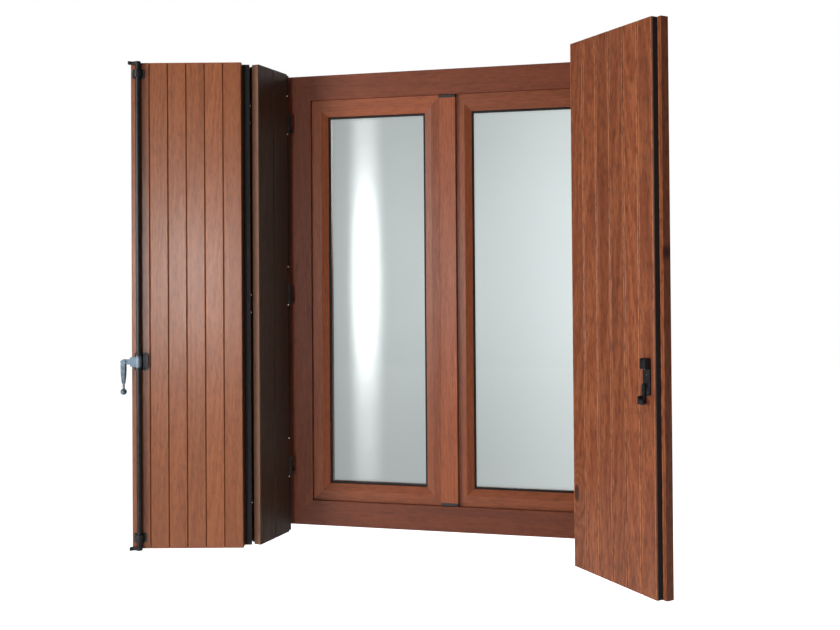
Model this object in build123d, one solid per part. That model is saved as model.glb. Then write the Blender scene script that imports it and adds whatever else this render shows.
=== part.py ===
# Two-sash window in its frame, with a four-leaf folding board shutter.
# Millimetres. X runs along the frame, Y into the building, Z up.
# The origin is the middle of the frame's underside, so the outside face looks towards -Y.
# The pose at rest is half open: both pairs of leaves are swung out of the window.

import os

from build123d import *

# Frame
FRAME_WIDTH = 1016.0
FRAME_HEIGHT = 1400.0
FRAME_DEPTH = 70.0
FRAME_FACE = 77.0
REBATE_FACE = 60.0
STOP_DEPTH = 10.0
FIXING_HOLE_RADIUS = 4.0
FIXING_COUNT = 3
FIXING_SPACING = 500.0
EDGE_EASE = 1.5

# Sashes
SASH_GAP = 4.0
SASH_SETBACK = 12.0
SASH_DEPTH = 68.0
SASH_FLAT = 43.0
SASH_BEVEL = 21.0
BEVEL_DROP = 9.0
GLAZING_LIP = 6.0
LIP_COVER = 11.0
OVERLAP_REACH = 14.0
OVERLAP_DEPTH = 9.0
MEETING_GAP = 16.0
PANE_THICKNESS = 4.0
PANE_SPACING = 16.0
PANE_EDGE_GAP = 3.0
GASKET_THICKNESS = 2.0
GASKET_SHOW = 11.0
SPACER_WIDTH = 7.0
BEAD_BEVEL = 8.0

# Astragals
ASTRAGAL_WIDTH = 52.0
ASTRAGAL_DEPTH = 12.0
ASTRAGAL_RELIEF = 0.8
ASTRAGAL_ROUND = 2.0
ASTRAGAL_END_GAP = 2.0
CAP_HEIGHT = 8.0
INNER_ASTRAGAL_REACH = 20.0
INNER_ASTRAGAL_WIDTH = 46.0

# Sash hinges
SASH_BARREL_RADIUS = 5.2
SASH_BARREL_LENGTH = 34.0
SASH_BARREL_PIN = 3.0
SASH_BARREL_OFFSET = 8.0
SASH_SHANK_RADIUS = 2.6
SASH_SHANK_LENGTH = 22.0
SASH_HINGE_COUNT = 2
SASH_HINGE_INSET = 190.0

# Window handle
HANDLE_HEIGHT = 690.0
ROSE_WIDTH = 30.0
ROSE_HEIGHT = 68.0
ROSE_DEPTH = 9.0
HANDLE_NECK_RADIUS = 8.0
HANDLE_NECK_LENGTH = 32.0
HANDLE_GRIP_LENGTH = 118.0
HANDLE_GRIP_WIDTH = 20.0
HANDLE_GRIP_DEPTH = 12.0

# Shutter leaves
LEAF_BOTTOM = -12.0
LEAF_TOP = 1400.0
LEAF_THICKNESS = 40.0
LEAF_FRONT_GAP = 27.0
NARROW_BOARD_COUNT = 2
WIDE_BOARD_COUNT = 6
NARROW_PITCH = 172.0
HINGE_INSET = 13.0
HINGE_FACE_OFFSET = 4.0
LEAF_EDGE_GAP = 10.0
FOLD_GAP = 2.0
FOLD_PIN_OFFSET = 8.0
LAP_THICKNESS = 14.0
FOLD_LAP = 19.0
FOLD_LAP_THICKNESS = 9.0
FOLD_REBATE_WIDTH = 18.0
MEETING_LAP = 10.0
MEETING_REBATE_WIDTH = 14.0
REBATE_DEPTH = 17.5
MEETING_OFFSET = 10.0
MEETING_CLEARANCE = 1.5
GROOVE_DEPTH = 2.5
TONGUE_LENGTH = 8.0
TONGUE_THICKNESS = 12.0
TONGUE_CLEARANCE = 0.2
SEAL_THICKNESS = 1.8
SEAL_END_GAP = 2.0
LIP_ROOT = 10.0

# Shutter poses at rest, counted from shut, in degrees
LEFT_NARROW_OPEN = 103.0
LEFT_WIDE_OPEN = 64.5
RIGHT_NARROW_OPEN = 46.5
RIGHT_WIDE_OPEN = 83.5

# Shutter hinges
BARREL_RADIUS = 8.0
PINTLE_PIN_RADIUS = 5.0
PINTLE_SHANK_RADIUS = 5.0
PINTLE_BASE_HEIGHT = 24.0
PINTLE_PIN_HEIGHT = 38.0
PINTLE_SINK = 30.0
RUNNING_CLEARANCE = 0.08
KNUCKLE_GAP = 0.3
STRAP_THICKNESS = 3.0
STRAP_HEIGHT = 90.0
STRAP_DEPTH = 26.0
FRAME_HINGE_HEIGHTS = (170.0, 700.0, 1230.0)
FOLD_HINGE_HEIGHTS = (130.0, 694.0, 1258.0)
FOLD_BARREL_RADIUS = 7.5
FOLD_PIN_RADIUS = 4.0
FOLD_KNUCKLE_HEIGHT = 16.0
FOLD_STRAP_HEIGHT = 34.0
FOLD_STRAP_LENGTH = 96.0
FOLD_STRAP_THICKNESS = 4.0
STRAP_RELIEF = 0.6

# Espagnolette on the left wide leaf
ROD_RADIUS = 7.5
ROD_INSET = 23.0
ROD_STAND_OFF = 9.5
HOOK_REACH = 27.0
HOOK_HEIGHT = 9.0
HOOK_RADIUS = 9.0
HOOK_CURL = 7.0
HOOK_OUTSIDE = 2.0
GUIDE_HEIGHT = 28.0
GUIDE_WIDTH = 36.0
GUIDE_PLATE = 3.0
GUIDE_COLLAR_RADIUS = 12.0
GUIDE_TOP_INSET = 33.0
GUIDE_BOTTOM_INSET = 32.0
HUB_HEIGHT = 530.0
HUB_RADIUS = 9.2
HUB_TALL = 32.0
HUB_BLOCK_LENGTH = 24.0
HUB_BLOCK_DEPTH = 16.0
HUB_ARM_TALL = 15.0
TONGUE_DEPTH = 6.0
LEVER_REACH = 43.5
LEVER_OFFSET = 2.5
LEVER_WIDTH = 15.0
LEVER_DEPTH = 14.0
LEVER_DROP = 74.0
LEVER_NECK_RADIUS = 3.2
LEVER_BALL_RADIUS = 9.0
LEVER_BALL_DROP = 86.0
LEVER_PIN_RADIUS = 2.5
FORK_SLOT = 6.6
FORK_CUT_REACH = 20.0
LOOP_WIDTH = 22.0
LOOP_HEIGHT = 52.0
LOOP_OFFSET = 15.0
LOOP_DEPTH = 7.0
LOOP_WALL = 5.0
LUG_HEIGHT = 8.0

# Keeper on the right wide leaf
KEEPER_OUT = 31.0
KEEPER_WIDTH = 24.0
KEEPER_TOP = 571.0
KEEPER_TALL = 92.0
KEEPER_PLATE = 4.0
KEEPER_BLOCK_TALL = 28.0
KEEPER_BLOCK_DEPTH = 17.0
CATCH_PIVOT_HEIGHT = 502.0
CATCH_PIVOT_SHIFT = 6.0
CATCH_RADIUS = 7.0
CATCH_DROP = 44.0
CATCH_THICKNESS = 4.0
CATCH_LIP = 19.0
CATCH_DEPTH = 18.0
CATCH_TALL = 20.0
CATCH_PIN_RADIUS = 2.5
CATCH_CLEARANCE = 0.4

# How far a cut runs past the material
OVERSHOOT = 1.0

# Derived places
HALF_WIDTH = FRAME_WIDTH / 2
FRONT = -FRAME_DEPTH / 2
BACK = FRAME_DEPTH / 2
HINGE_X = HALF_WIDTH - HINGE_INSET
HINGE_Y = FRONT - LEAF_FRONT_GAP - HINGE_FACE_OFFSET
FOLD_V = HINGE_FACE_OFFSET - LEAF_THICKNESS - FOLD_PIN_OFFSET
WIDE_PITCH = HINGE_X - NARROW_PITCH
INNER_V = FOLD_PIN_OFFSET + LEAF_THICKNESS
SASH_EDGE = REBATE_FACE + SASH_GAP
SASH_FRONT = FRONT + SASH_SETBACK
SASH_BACK = SASH_FRONT + SASH_DEPTH
LIP_BACK = BEVEL_DROP + GLAZING_LIP
SIGHT = SASH_FLAT + SASH_BEVEL
PANE_FRONT = LIP_BACK + GASKET_THICKNESS
UNIT_DEPTH = 2 * PANE_THICKNESS + PANE_SPACING
PANE_INSET = SIGHT - LIP_COVER + PANE_EDGE_GAP
SASH_INNER_X = MEETING_GAP / 2
SASH_OUTER_X = HALF_WIDTH - SASH_EDGE
SASH_LOW = SASH_EDGE
SASH_HIGH = FRAME_HEIGHT - SASH_EDGE
OVERLAP_FRONT = SASH_DEPTH - OVERLAP_DEPTH
SASH_AXIS_X = SASH_OUTER_X + SASH_BARREL_OFFSET + OVERLAP_REACH
SASH_AXIS_Y = BACK + SASH_BARREL_RADIUS + 0.8
STILE_MIDDLE = SASH_INNER_X + 0.5 * (SIGHT - LIP_COVER) + 8.0

NARROW_START = LEAF_EDGE_GAP
NARROW_END = NARROW_PITCH - FOLD_GAP
FOLD_WALL = NARROW_END - FOLD_REBATE_WIDTH
LEFT_MEETING = WIDE_PITCH - MEETING_OFFSET
LEFT_INNER_END = LEFT_MEETING + MEETING_LAP + MEETING_CLEARANCE
ROD_W = LEFT_INNER_END - ROD_INSET
ROD_V = INNER_V + ROD_STAND_OFF
LEVER_V = ROD_V + LEVER_OFFSET


def prism(points, low, high):
    """Upright prism on a plan outline."""
    face = make_face(Polyline(*points, close=True))
    return Pos(0, 0, low) * extrude(face, amount=high - low)


def disc(radius, x, y, low, high):
    """Upright cylinder."""
    return Pos(x, y, (low + high) / 2) * Cylinder(radius, high - low)


def block(x0, y0, z0, x1, y1, z1):
    """Box between two corners."""
    size = (abs(x1 - x0), abs(y1 - y0), abs(z1 - z0))
    return Pos((x0 + x1) / 2, (y0 + y1) / 2, (z0 + z1) / 2) * Box(*size)


def across(radius, x, z, y0, y1):
    """Round bar along Y."""
    return Pos(x, (y0 + y1) / 2, z) * Rot(90, 0, 0) * Cylinder(radius, abs(y1 - y0))


def along(radius, y, z, x0, x1):
    """Round bar along X."""
    return Pos((x0 + x1) / 2, y, z) * Rot(0, 90, 0) * Cylinder(radius, abs(x1 - x0))


def joined(*shapes):
    """One clean solid made of several that overlap."""
    result = shapes[0]
    for shape in shapes[1:]:
        result = result + shape
    return result


def profile_bars(section, x0, x1, z0, z1, front, corners):
    """Four bars of one section round a rectangle, each cut to its own end outline.

    The section is a list of (inward, depth) points. corners maps each side to its outline.
    """
    plan = {
        "left": [(x0 + a, front + b) for a, b in section],
        "right": [(x1 - a, front + b) for a, b in section],
    }
    reach = 60.0
    depth = 400.0
    bars = {}
    for side, points in plan.items():
        bars[side] = prism(points, z0 - reach, z1 + reach)
    for side, base, sign in (("bottom", z0, 1), ("top", z1, -1)):
        points = [(front + b, base + sign * a) for a, b in section]
        face = make_face(Polyline(*points, close=True))
        start = Plane(origin=(x0 - reach, 0, 0), x_dir=(0, 1, 0), z_dir=(1, 0, 0))
        bars[side] = extrude(start * face, amount=x1 - x0 + 2 * reach)
    result = {}
    for side, bar in bars.items():
        outline = make_face(Polyline(*corners[side], close=True))
        upright = Plane(origin=(0, depth / 2, 0), x_dir=(1, 0, 0), z_dir=(0, -1, 0))
        result[side] = bar & extrude(upright * outline, amount=depth)
    return result


def mitred(x0, x1, z0, z1, inward, outward=0.0):
    """End outlines of four bars that meet on the diagonals of their rectangle."""
    a, b = inward, outward
    return {
        "left": [(x0 - b, z0 - b), (x0 + a, z0 + a), (x0 + a, z1 - a), (x0 - b, z1 + b)],
        "right": [(x1 + b, z0 - b), (x1 - a, z0 + a), (x1 - a, z1 - a), (x1 + b, z1 + b)],
        "bottom": [(x0 - b, z0 - b), (x1 + b, z0 - b), (x1 - a, z0 + a), (x0 + a, z0 + a)],
        "top": [(x0 - b, z1 + b), (x1 + b, z1 + b), (x1 - a, z1 - a), (x0 + a, z1 - a)],
    }


def window_frame():
    """Head, sill and jambs with their rebate, and the fixing holes through the jambs."""
    ease = EDGE_EASE
    section = [
        (0, ease),
        (ease, 0),
        (FRAME_FACE - ease, 0),
        (FRAME_FACE, ease),
        (FRAME_FACE, STOP_DEPTH),
        (REBATE_FACE, STOP_DEPTH),
        (REBATE_FACE, FRAME_DEPTH),
        (0, FRAME_DEPTH),
    ]
    span = (-HALF_WIDTH, HALF_WIDTH, 0.0, FRAME_HEIGHT)
    bars = profile_bars(section, *span, FRONT, mitred(*span, FRAME_FACE))
    middle = FRAME_HEIGHT / 2
    for index in range(FIXING_COUNT):
        height = middle + (index - (FIXING_COUNT - 1) / 2) * FIXING_SPACING
        for side, sign in (("left", -1), ("right", 1)):
            start = sign * (HALF_WIDTH + OVERSHOOT)
            end = sign * (HALF_WIDTH - REBATE_FACE - OVERSHOOT)
            bars[side] = bars[side] - along(FIXING_HOLE_RADIUS, 0, height, start, end)
    for height in FRAME_HINGE_HEIGHTS:
        for side, sign in (("left", -1), ("right", 1)):
            start = FRONT - OVERSHOOT
            end = FRONT + PINTLE_SINK
            bars[side] = bars[side] - across(PINTLE_SHANK_RADIUS, sign * HINGE_X, height, start, end)
    for height in sash_hinge_heights():
        for side, sign in (("left", -1), ("right", 1)):
            middle = height - SASH_BARREL_LENGTH / 4
            end = BACK - SASH_SHANK_LENGTH
            start = BACK + OVERSHOOT
            bars[side] = bars[side] - across(SASH_SHANK_RADIUS, sign * SASH_AXIS_X, middle, start, end)
    return {
        "frame_head": bars["top"],
        "frame_sill": bars["bottom"],
        "frame_left_jamb": bars["left"],
        "frame_right_jamb": bars["right"],
    }


def sash_hinge_heights():
    """Middle heights of the sash hinges."""
    step = (FRAME_HEIGHT - 2 * SASH_HINGE_INSET) / (SASH_HINGE_COUNT - 1)
    return [SASH_HINGE_INSET + index * step for index in range(SASH_HINGE_COUNT)]


def pintles():
    """Screw-in pintles that carry the narrow leaves, three in each jamb."""
    solids = []
    for sign in (-1, 1):
        for height in FRAME_HINGE_HEIGHTS:
            x = sign * HINGE_X
            low = height - PINTLE_BASE_HEIGHT / 2
            top = height + PINTLE_BASE_HEIGHT / 2
            base = disc(BARREL_RADIUS, x, HINGE_Y, low, top)
            pin = disc(PINTLE_PIN_RADIUS, x, HINGE_Y, top - 1, top + PINTLE_PIN_HEIGHT)
            shank = across(PINTLE_SHANK_RADIUS, x, height, HINGE_Y, FRONT + PINTLE_SINK)
            solids.append(joined(base, pin, shank))
    return Compound(children=solids)


def sash_sides(side):
    """Left, right, bottom and top limits of a sash's rectangle."""
    if side == "left":
        return -SASH_OUTER_X, -SASH_INNER_X, SASH_LOW, SASH_HIGH
    return SASH_INNER_X, SASH_OUTER_X, SASH_LOW, SASH_HIGH


def sash(side):
    """Two rails, a hinge stile and a meeting stile, bevelled outside and rebated inside."""
    x0, x1, z0, z1 = sash_sides(side)
    core = [
        (0, EDGE_EASE),
        (EDGE_EASE, 0),
        (SASH_FLAT, 0),
        (SIGHT, BEVEL_DROP),
        (SIGHT, LIP_BACK),
        (SIGHT - LIP_COVER, LIP_BACK),
        (SIGHT - LIP_COVER, SASH_DEPTH),
    ]
    lipped = core + [
        (-OVERLAP_REACH, SASH_DEPTH),
        (-OVERLAP_REACH, OVERLAP_FRONT),
        (0, OVERLAP_FRONT),
    ]
    plain = core + [(0, SASH_DEPTH)]
    corners = mitred(x0, x1, z0, z1, SIGHT, OVERLAP_REACH)
    meeting = "right" if side == "left" else "left"
    hinge = "left" if side == "left" else "right"
    edge = x1 if side == "left" else x0
    inner = x1 - SIGHT if side == "left" else x0 + SIGHT
    outer = x0 - OVERLAP_REACH if side == "left" else x1 + OVERLAP_REACH
    far = x0 + SIGHT if side == "left" else x1 - SIGHT
    # The meeting edge has no overlap lip, so the rails end square outside it.
    corners[meeting] = [(edge, z0), (inner, z0 + SIGHT), (inner, z1 - SIGHT), (edge, z1)]
    for name, base, turn in (("bottom", z0, 1), ("top", z1, -1)):
        corners[name] = [
            (outer, base - turn * OVERLAP_REACH),
            (edge, base - turn * OVERLAP_REACH),
            (edge, base),
            (inner, base + turn * SIGHT),
            (far, base + turn * SIGHT),
        ]
    bars = profile_bars(lipped, x0, x1, z0, z1, SASH_FRONT, corners)
    bars[meeting] = profile_bars(plain, x0, x1, z0, z1, SASH_FRONT, corners)[meeting]
    for height in sash_hinge_heights():
        sign = -1 if side == "left" else 1
        bore = along(
            SASH_SHANK_RADIUS,
            SASH_AXIS_Y,
            height + SASH_BARREL_LENGTH / 2,
            sign * (SASH_AXIS_X + 1),
            sign * (SASH_AXIS_X - SASH_SHANK_LENGTH),
        )
        bars[hinge] = bars[hinge] - bore
    return {
        f"{side}_sash_top_rail": bars["top"],
        f"{side}_sash_bottom_rail": bars["bottom"],
        f"{side}_sash_hinge_stile": bars[hinge],
        f"{side}_sash_meeting_stile": bars[meeting],
    }


def glazing(side):
    """Two panes, the spacer between them, the outer gasket and the inner beads."""
    x0, x1, z0, z1 = sash_sides(side)
    inset = PANE_INSET
    pane_box = (x0 + inset, x1 - inset, z0 + inset, z1 - inset)
    panes = []
    for offset in (PANE_FRONT, PANE_FRONT + PANE_THICKNESS + PANE_SPACING):
        front = SASH_FRONT + offset
        panes.append(
            block(pane_box[0], front, pane_box[2], pane_box[1], front + PANE_THICKNESS, pane_box[3])
        )
    spacer_front = SASH_FRONT + PANE_FRONT + PANE_THICKNESS
    spacer = ring(pane_box, 0.0, SPACER_WIDTH, spacer_front, PANE_SPACING)
    gasket_inset = SIGHT - LIP_COVER + PANE_EDGE_GAP
    gasket_box = (x0 + gasket_inset, x1 - gasket_inset, z0 + gasket_inset, z1 - gasket_inset)
    gasket_width = SIGHT + GASKET_SHOW - gasket_inset
    gasket = ring(gasket_box, 0.0, gasket_width, SASH_FRONT + LIP_BACK, GASKET_THICKNESS)
    bead_front = PANE_FRONT + UNIT_DEPTH
    bead_edge = SIGHT - LIP_COVER
    section = [
        (bead_edge, bead_front),
        (SIGHT, bead_front),
        (SIGHT, SASH_DEPTH - BEAD_BEVEL),
        (SIGHT - BEAD_BEVEL, SASH_DEPTH),
        (bead_edge, SASH_DEPTH),
    ]
    corners = mitred(x0, x1, z0, z1, SIGHT)
    beads = profile_bars(section, x0, x1, z0, z1, SASH_FRONT, corners)
    return {
        f"{side}_panes": Compound(children=panes),
        f"{side}_spacer": spacer,
        f"{side}_glazing_gasket": gasket,
        f"{side}_glazing_beads": Compound(children=list(beads.values())),
    }


def ring(box, outer_inset, inner_inset, front, depth):
    """Flat rectangular ring in the plane of the window."""
    x0, x1, z0, z1 = box
    outer = block(
        x0 + outer_inset, front, z0 + outer_inset, x1 - outer_inset, front + depth, z1 - outer_inset
    )
    hole = block(
        x0 + inner_inset,
        front - 1,
        z0 + inner_inset,
        x1 - inner_inset,
        front + depth + 1,
        z1 - inner_inset,
    )
    return outer - hole


def astragals():
    """Outer astragal with its end caps on the left sash, and the inner one on the right sash."""
    low = FRAME_FACE + ASTRAGAL_END_GAP
    high = FRAME_HEIGHT - FRAME_FACE - ASTRAGAL_END_GAP
    half = ASTRAGAL_WIDTH / 2
    front = SASH_FRONT - ASTRAGAL_DEPTH
    relief = SASH_FRONT - ASTRAGAL_RELIEF
    points = [
        (-half, SASH_FRONT),
        (-half, front + ASTRAGAL_ROUND),
        (-half + ASTRAGAL_ROUND, front),
        (half - ASTRAGAL_ROUND, front),
        (half, front + ASTRAGAL_ROUND),
        (half, relief),
        (-SASH_INNER_X, relief),
        (-SASH_INNER_X, SASH_FRONT),
    ]
    cover = prism(points, low + CAP_HEIGHT, high - CAP_HEIGHT)
    caps = [prism(points, low, low + CAP_HEIGHT), prism(points, high - CAP_HEIGHT, high)]
    right = INNER_ASTRAGAL_WIDTH - INNER_ASTRAGAL_REACH
    inner_front = SASH_BACK
    inner_back = SASH_BACK + ASTRAGAL_DEPTH
    inner_points = [
        (-INNER_ASTRAGAL_REACH, inner_front + ASTRAGAL_RELIEF),
        (-INNER_ASTRAGAL_REACH, inner_back - ASTRAGAL_ROUND),
        (-INNER_ASTRAGAL_REACH + ASTRAGAL_ROUND, inner_back),
        (right - ASTRAGAL_ROUND, inner_back),
        (right, inner_back - ASTRAGAL_ROUND),
        (right, inner_front),
        (SASH_INNER_X, inner_front),
        (SASH_INNER_X, inner_front + ASTRAGAL_RELIEF),
    ]
    inner = prism(inner_points, SASH_LOW, SASH_HIGH)
    return {
        "outer_astragal": cover,
        "astragal_caps": Compound(children=caps),
        "inner_astragal": inner,
    }


def sash_hinges():
    """Barrel hinges on the room side: the pin halves in the frame, the sockets on the sashes."""
    frame_parts = []
    sockets = {"left": [], "right": []}
    for side, sign in (("left", -1), ("right", 1)):
        x = sign * SASH_AXIS_X
        for height in sash_hinge_heights():
            low = height - SASH_BARREL_LENGTH / 2
            base = disc(SASH_BARREL_RADIUS, x, SASH_AXIS_Y, low, height)
            pin = disc(
                SASH_BARREL_PIN, x, SASH_AXIS_Y, height - 1, height + SASH_BARREL_LENGTH * 0.7
            )
            middle = height - SASH_BARREL_LENGTH / 4
            shank = across(SASH_SHANK_RADIUS, x, middle, SASH_AXIS_Y, BACK - SASH_SHANK_LENGTH)
            frame_parts.append(joined(base, pin, shank))
            socket_low = height + KNUCKLE_GAP
            socket = disc(
                SASH_BARREL_RADIUS, x, SASH_AXIS_Y, socket_low, height + SASH_BARREL_LENGTH
            )
            arm = along(
                SASH_SHANK_RADIUS,
                SASH_AXIS_Y,
                height + SASH_BARREL_LENGTH / 2,
                x,
                sign * (SASH_AXIS_X - SASH_SHANK_LENGTH),
            )
            bore = disc(
                SASH_BARREL_PIN + RUNNING_CLEARANCE,
                x,
                SASH_AXIS_Y,
                socket_low - 1,
                height + SASH_BARREL_LENGTH * 0.8,
            )
            sockets[side].append(joined(socket, arm) - bore)
    return {
        "sash_hinge_pins": Compound(children=frame_parts),
        "left_sash_hinges": Compound(children=sockets["left"]),
        "right_sash_hinges": Compound(children=sockets["right"]),
    }


def window_handle():
    """Rose on the right sash's meeting stile and the handle that turns in it."""
    x = STILE_MIDDLE
    rose_outline = RectangleRounded(ROSE_WIDTH, ROSE_HEIGHT, 12)
    plane = Plane(origin=(x, SASH_BACK, HANDLE_HEIGHT), x_dir=(-1, 0, 0), z_dir=(0, 1, 0))
    rose = extrude(plane * rose_outline, amount=ROSE_DEPTH)
    rose = fillet(rose.faces().sort_by(Axis.Y)[-1].edges(), 2.0)
    bore_radius = HANDLE_NECK_RADIUS + RUNNING_CLEARANCE
    rose = rose - across(bore_radius, x, HANDLE_HEIGHT, SASH_BACK + 2, SASH_BACK + ROSE_DEPTH + 1)
    neck_start = SASH_BACK + 2 + KNUCKLE_GAP
    neck_end = SASH_BACK + ROSE_DEPTH + HANDLE_NECK_LENGTH
    neck = across(HANDLE_NECK_RADIUS, x, HANDLE_HEIGHT, neck_start, neck_end)
    grip_middle = neck_end
    sections = []
    for drop, width, depth in (
        (-11.0, HANDLE_GRIP_WIDTH, HANDLE_GRIP_DEPTH),
        (30.0, HANDLE_GRIP_WIDTH * 0.85, HANDLE_GRIP_DEPTH),
        (HANDLE_GRIP_LENGTH, HANDLE_GRIP_WIDTH, HANDLE_GRIP_DEPTH * 0.8),
    ):
        section_plane = Plane(origin=(x, grip_middle, HANDLE_HEIGHT - drop), z_dir=(0, 0, -1))
        sections.append(section_plane * RectangleRounded(width, depth, 3.5))
    grip = loft(sections)
    return {"window_handle_rose": rose, "window_handle": joined(neck, grip)}


def board_outline(start, end, low_v, high_v, tongue_start, tongue_end):
    """Plan of one board: chamfered faces, a groove at its start, a tongue at its end."""
    g = GROOVE_DEPTH
    middle = (low_v + high_v) / 2
    half = TONGUE_THICKNESS / 2
    loose = TONGUE_CLEARANCE
    points = [(start, low_v + g), (start + g, low_v), (end - g, low_v), (end, low_v + g)]
    if tongue_end:
        points += [(end, middle - half), (end + TONGUE_LENGTH, middle - half)]
        points += [(end + TONGUE_LENGTH, middle + half), (end, middle + half)]
    points += [(end, high_v - g), (end - g, high_v), (start + g, high_v), (start, high_v - g)]
    if tongue_start:
        points += [(start, middle + half + loose)]
        points += [(start + TONGUE_LENGTH + loose, middle + half + loose)]
        points += [(start + TONGUE_LENGTH + loose, middle - half - loose)]
        points += [(start, middle - half - loose)]
    return points


def boards(start, end, count, low_v, high_v, cuts, lips):
    """Row of boards from start to end, with rebates cut out of it and lips added to it."""
    step = (end - start) / count
    result = {}
    for index in range(count):
        first = start + index * step
        last = first + step
        outline = board_outline(first, last, low_v, high_v, index > 0, index < count - 1)
        solid = prism(outline, LEAF_BOTTOM, LEAF_TOP)
        for lip in lips.get(index, []):
            solid = solid + block(lip[0], lip[1], LEAF_BOTTOM, lip[2], lip[3], LEAF_TOP)
        for cut in cuts.get(index, []):
            solid = solid - block(cut[0], cut[1], LEAF_BOTTOM - 1, cut[2], cut[3], LEAF_TOP + 1)
        result[f"board_{index + 1}"] = solid
    return result


def narrow_leaf():
    """Narrow leaf in its own frame: u along it from the pintle, v towards the window."""
    outer_v = HINGE_FACE_OFFSET - LEAF_THICKNESS
    inner_v = HINGE_FACE_OFFSET
    floor_v = outer_v + REBATE_DEPTH
    cuts = {NARROW_BOARD_COUNT - 1: [(FOLD_WALL, outer_v - 1, NARROW_END + 1, floor_v)]}
    parts = boards(NARROW_START, NARROW_END, NARROW_BOARD_COUNT, outer_v, inner_v, cuts, {})
    parts["fold_seal"] = block(
        FOLD_WALL,
        outer_v + GROOVE_DEPTH,
        LEAF_BOTTOM + SEAL_END_GAP,
        FOLD_WALL + SEAL_THICKNESS,
        floor_v,
        LEAF_TOP - SEAL_END_GAP,
    )
    straps = []
    for height in FRAME_HINGE_HEIGHTS:
        low = height + PINTLE_BASE_HEIGHT / 2 + KNUCKLE_GAP
        high = low + PINTLE_PIN_HEIGHT - 3
        knuckle = disc(BARREL_RADIUS, 0, 0, low, high)
        plate_start = LEAF_EDGE_GAP - STRAP_THICKNESS
        plate = block(
            plate_start,
            HINGE_FACE_OFFSET - 1 - STRAP_DEPTH,
            low,
            LEAF_EDGE_GAP,
            HINGE_FACE_OFFSET - 1,
            low + STRAP_HEIGHT,
        )
        web = block(0, -STRAP_THICKNESS, low, plate_start + 0.5, STRAP_THICKNESS - 1, high)
        bore = disc(PINTLE_PIN_RADIUS + RUNNING_CLEARANCE, 0, 0, low - 1, high + 1)
        straps.append(joined(knuckle, plate, web) - bore)
    parts["hinge_straps"] = Compound(children=straps)
    fold = []
    for height in FOLD_HINGE_HEIGHTS:
        fold.append(fold_strap_narrow(height))
    parts["fold_straps"] = Compound(children=fold)
    return parts


def fold_strap_narrow(height):
    """Strap on the narrow leaf's outer face with two knuckles and the pin through them."""
    outer_v = HINGE_FACE_OFFSET - LEAF_THICKNESS
    half = FOLD_KNUCKLE_HEIGHT / 2
    pieces = [
        block(
            NARROW_PITCH - FOLD_STRAP_LENGTH,
            outer_v - FOLD_STRAP_THICKNESS,
            height - FOLD_STRAP_HEIGHT / 2 - half,
            FOLD_WALL,
            outer_v,
            height + FOLD_STRAP_HEIGHT / 2 + half,
        ),
        disc(
            FOLD_PIN_RADIUS,
            NARROW_PITCH,
            FOLD_V,
            height - half - FOLD_KNUCKLE_HEIGHT,
            height + half + FOLD_KNUCKLE_HEIGHT,
        ),
    ]
    for sign in (-1, 1):
        near = height + sign * (half + KNUCKLE_GAP)
        far = height + sign * (half + FOLD_KNUCKLE_HEIGHT)
        low, high = min(near, far), max(near, far)
        pieces.append(disc(FOLD_BARREL_RADIUS, NARROW_PITCH, FOLD_V, low, high))
        pieces.append(
            block(
                FOLD_WALL - 1,
                outer_v - FOLD_STRAP_THICKNESS,
                low,
                NARROW_PITCH - 2,
                outer_v - STRAP_RELIEF,
                high,
            )
        )
    return joined(*pieces)


def fold_strap_wide(height):
    """Strap on the wide leaf's outer face with the middle knuckle."""
    half = FOLD_KNUCKLE_HEIGHT / 2 - KNUCKLE_GAP / 2
    plate = block(
        FOLD_BARREL_RADIUS + 4,
        FOLD_PIN_OFFSET - FOLD_STRAP_THICKNESS,
        height - FOLD_STRAP_HEIGHT / 2,
        FOLD_STRAP_LENGTH,
        FOLD_PIN_OFFSET,
        height + FOLD_STRAP_HEIGHT / 2,
    )
    bridge = block(
        2,
        FOLD_PIN_OFFSET - FOLD_STRAP_THICKNESS,
        height - half,
        FOLD_BARREL_RADIUS + 6,
        FOLD_PIN_OFFSET - STRAP_RELIEF,
        height + half,
    )
    knuckle = disc(FOLD_BARREL_RADIUS, 0, 0, height - half, height + half)
    bore = disc(FOLD_PIN_RADIUS + RUNNING_CLEARANCE, 0, 0, height - half - 1, height + half + 1)
    return joined(plate, bridge, knuckle) - bore


def wide_leaf(side):
    """Wide leaf in its own frame: w along it from the fold pin, v towards the window."""
    outer_v = FOLD_PIN_OFFSET
    inner_v = INNER_V
    last = WIDE_BOARD_COUNT - 1
    fold_lip = (FOLD_GAP - FOLD_LAP, outer_v, FOLD_GAP + LIP_ROOT, outer_v + FOLD_LAP_THICKNESS)
    if side == "left":
        outer_end = LEFT_MEETING - MEETING_CLEARANCE
        cut = (outer_end, outer_v - 1, LEFT_INNER_END + 1, inner_v - LAP_THICKNESS)
        parts = boards(
            FOLD_GAP, LEFT_INNER_END, WIDE_BOARD_COUNT, outer_v, inner_v, {last: [cut]}, {0: [fold_lip]}
        )
    else:
        # The outer layer runs past the joint line and the inner layer stops short of it.
        floor_v = inner_v - REBATE_DEPTH
        outer_end = WIDE_PITCH + MEETING_OFFSET - MEETING_CLEARANCE
        wall = outer_end - MEETING_REBATE_WIDTH
        meeting_lip = (wall - LIP_ROOT, outer_v, outer_end, floor_v)
        lips = {0: [fold_lip], last: [meeting_lip]}
        parts = boards(FOLD_GAP, wall, WIDE_BOARD_COUNT, outer_v, inner_v, {}, lips)
        parts["meeting_seal"] = block(
            wall,
            floor_v,
            LEAF_BOTTOM + SEAL_END_GAP,
            wall + SEAL_THICKNESS,
            inner_v - GROOVE_DEPTH,
            LEAF_TOP - SEAL_END_GAP,
        )
    parts["fold_straps"] = Compound(children=[fold_strap_wide(h) for h in FOLD_HINGE_HEIGHTS])
    return parts


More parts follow.
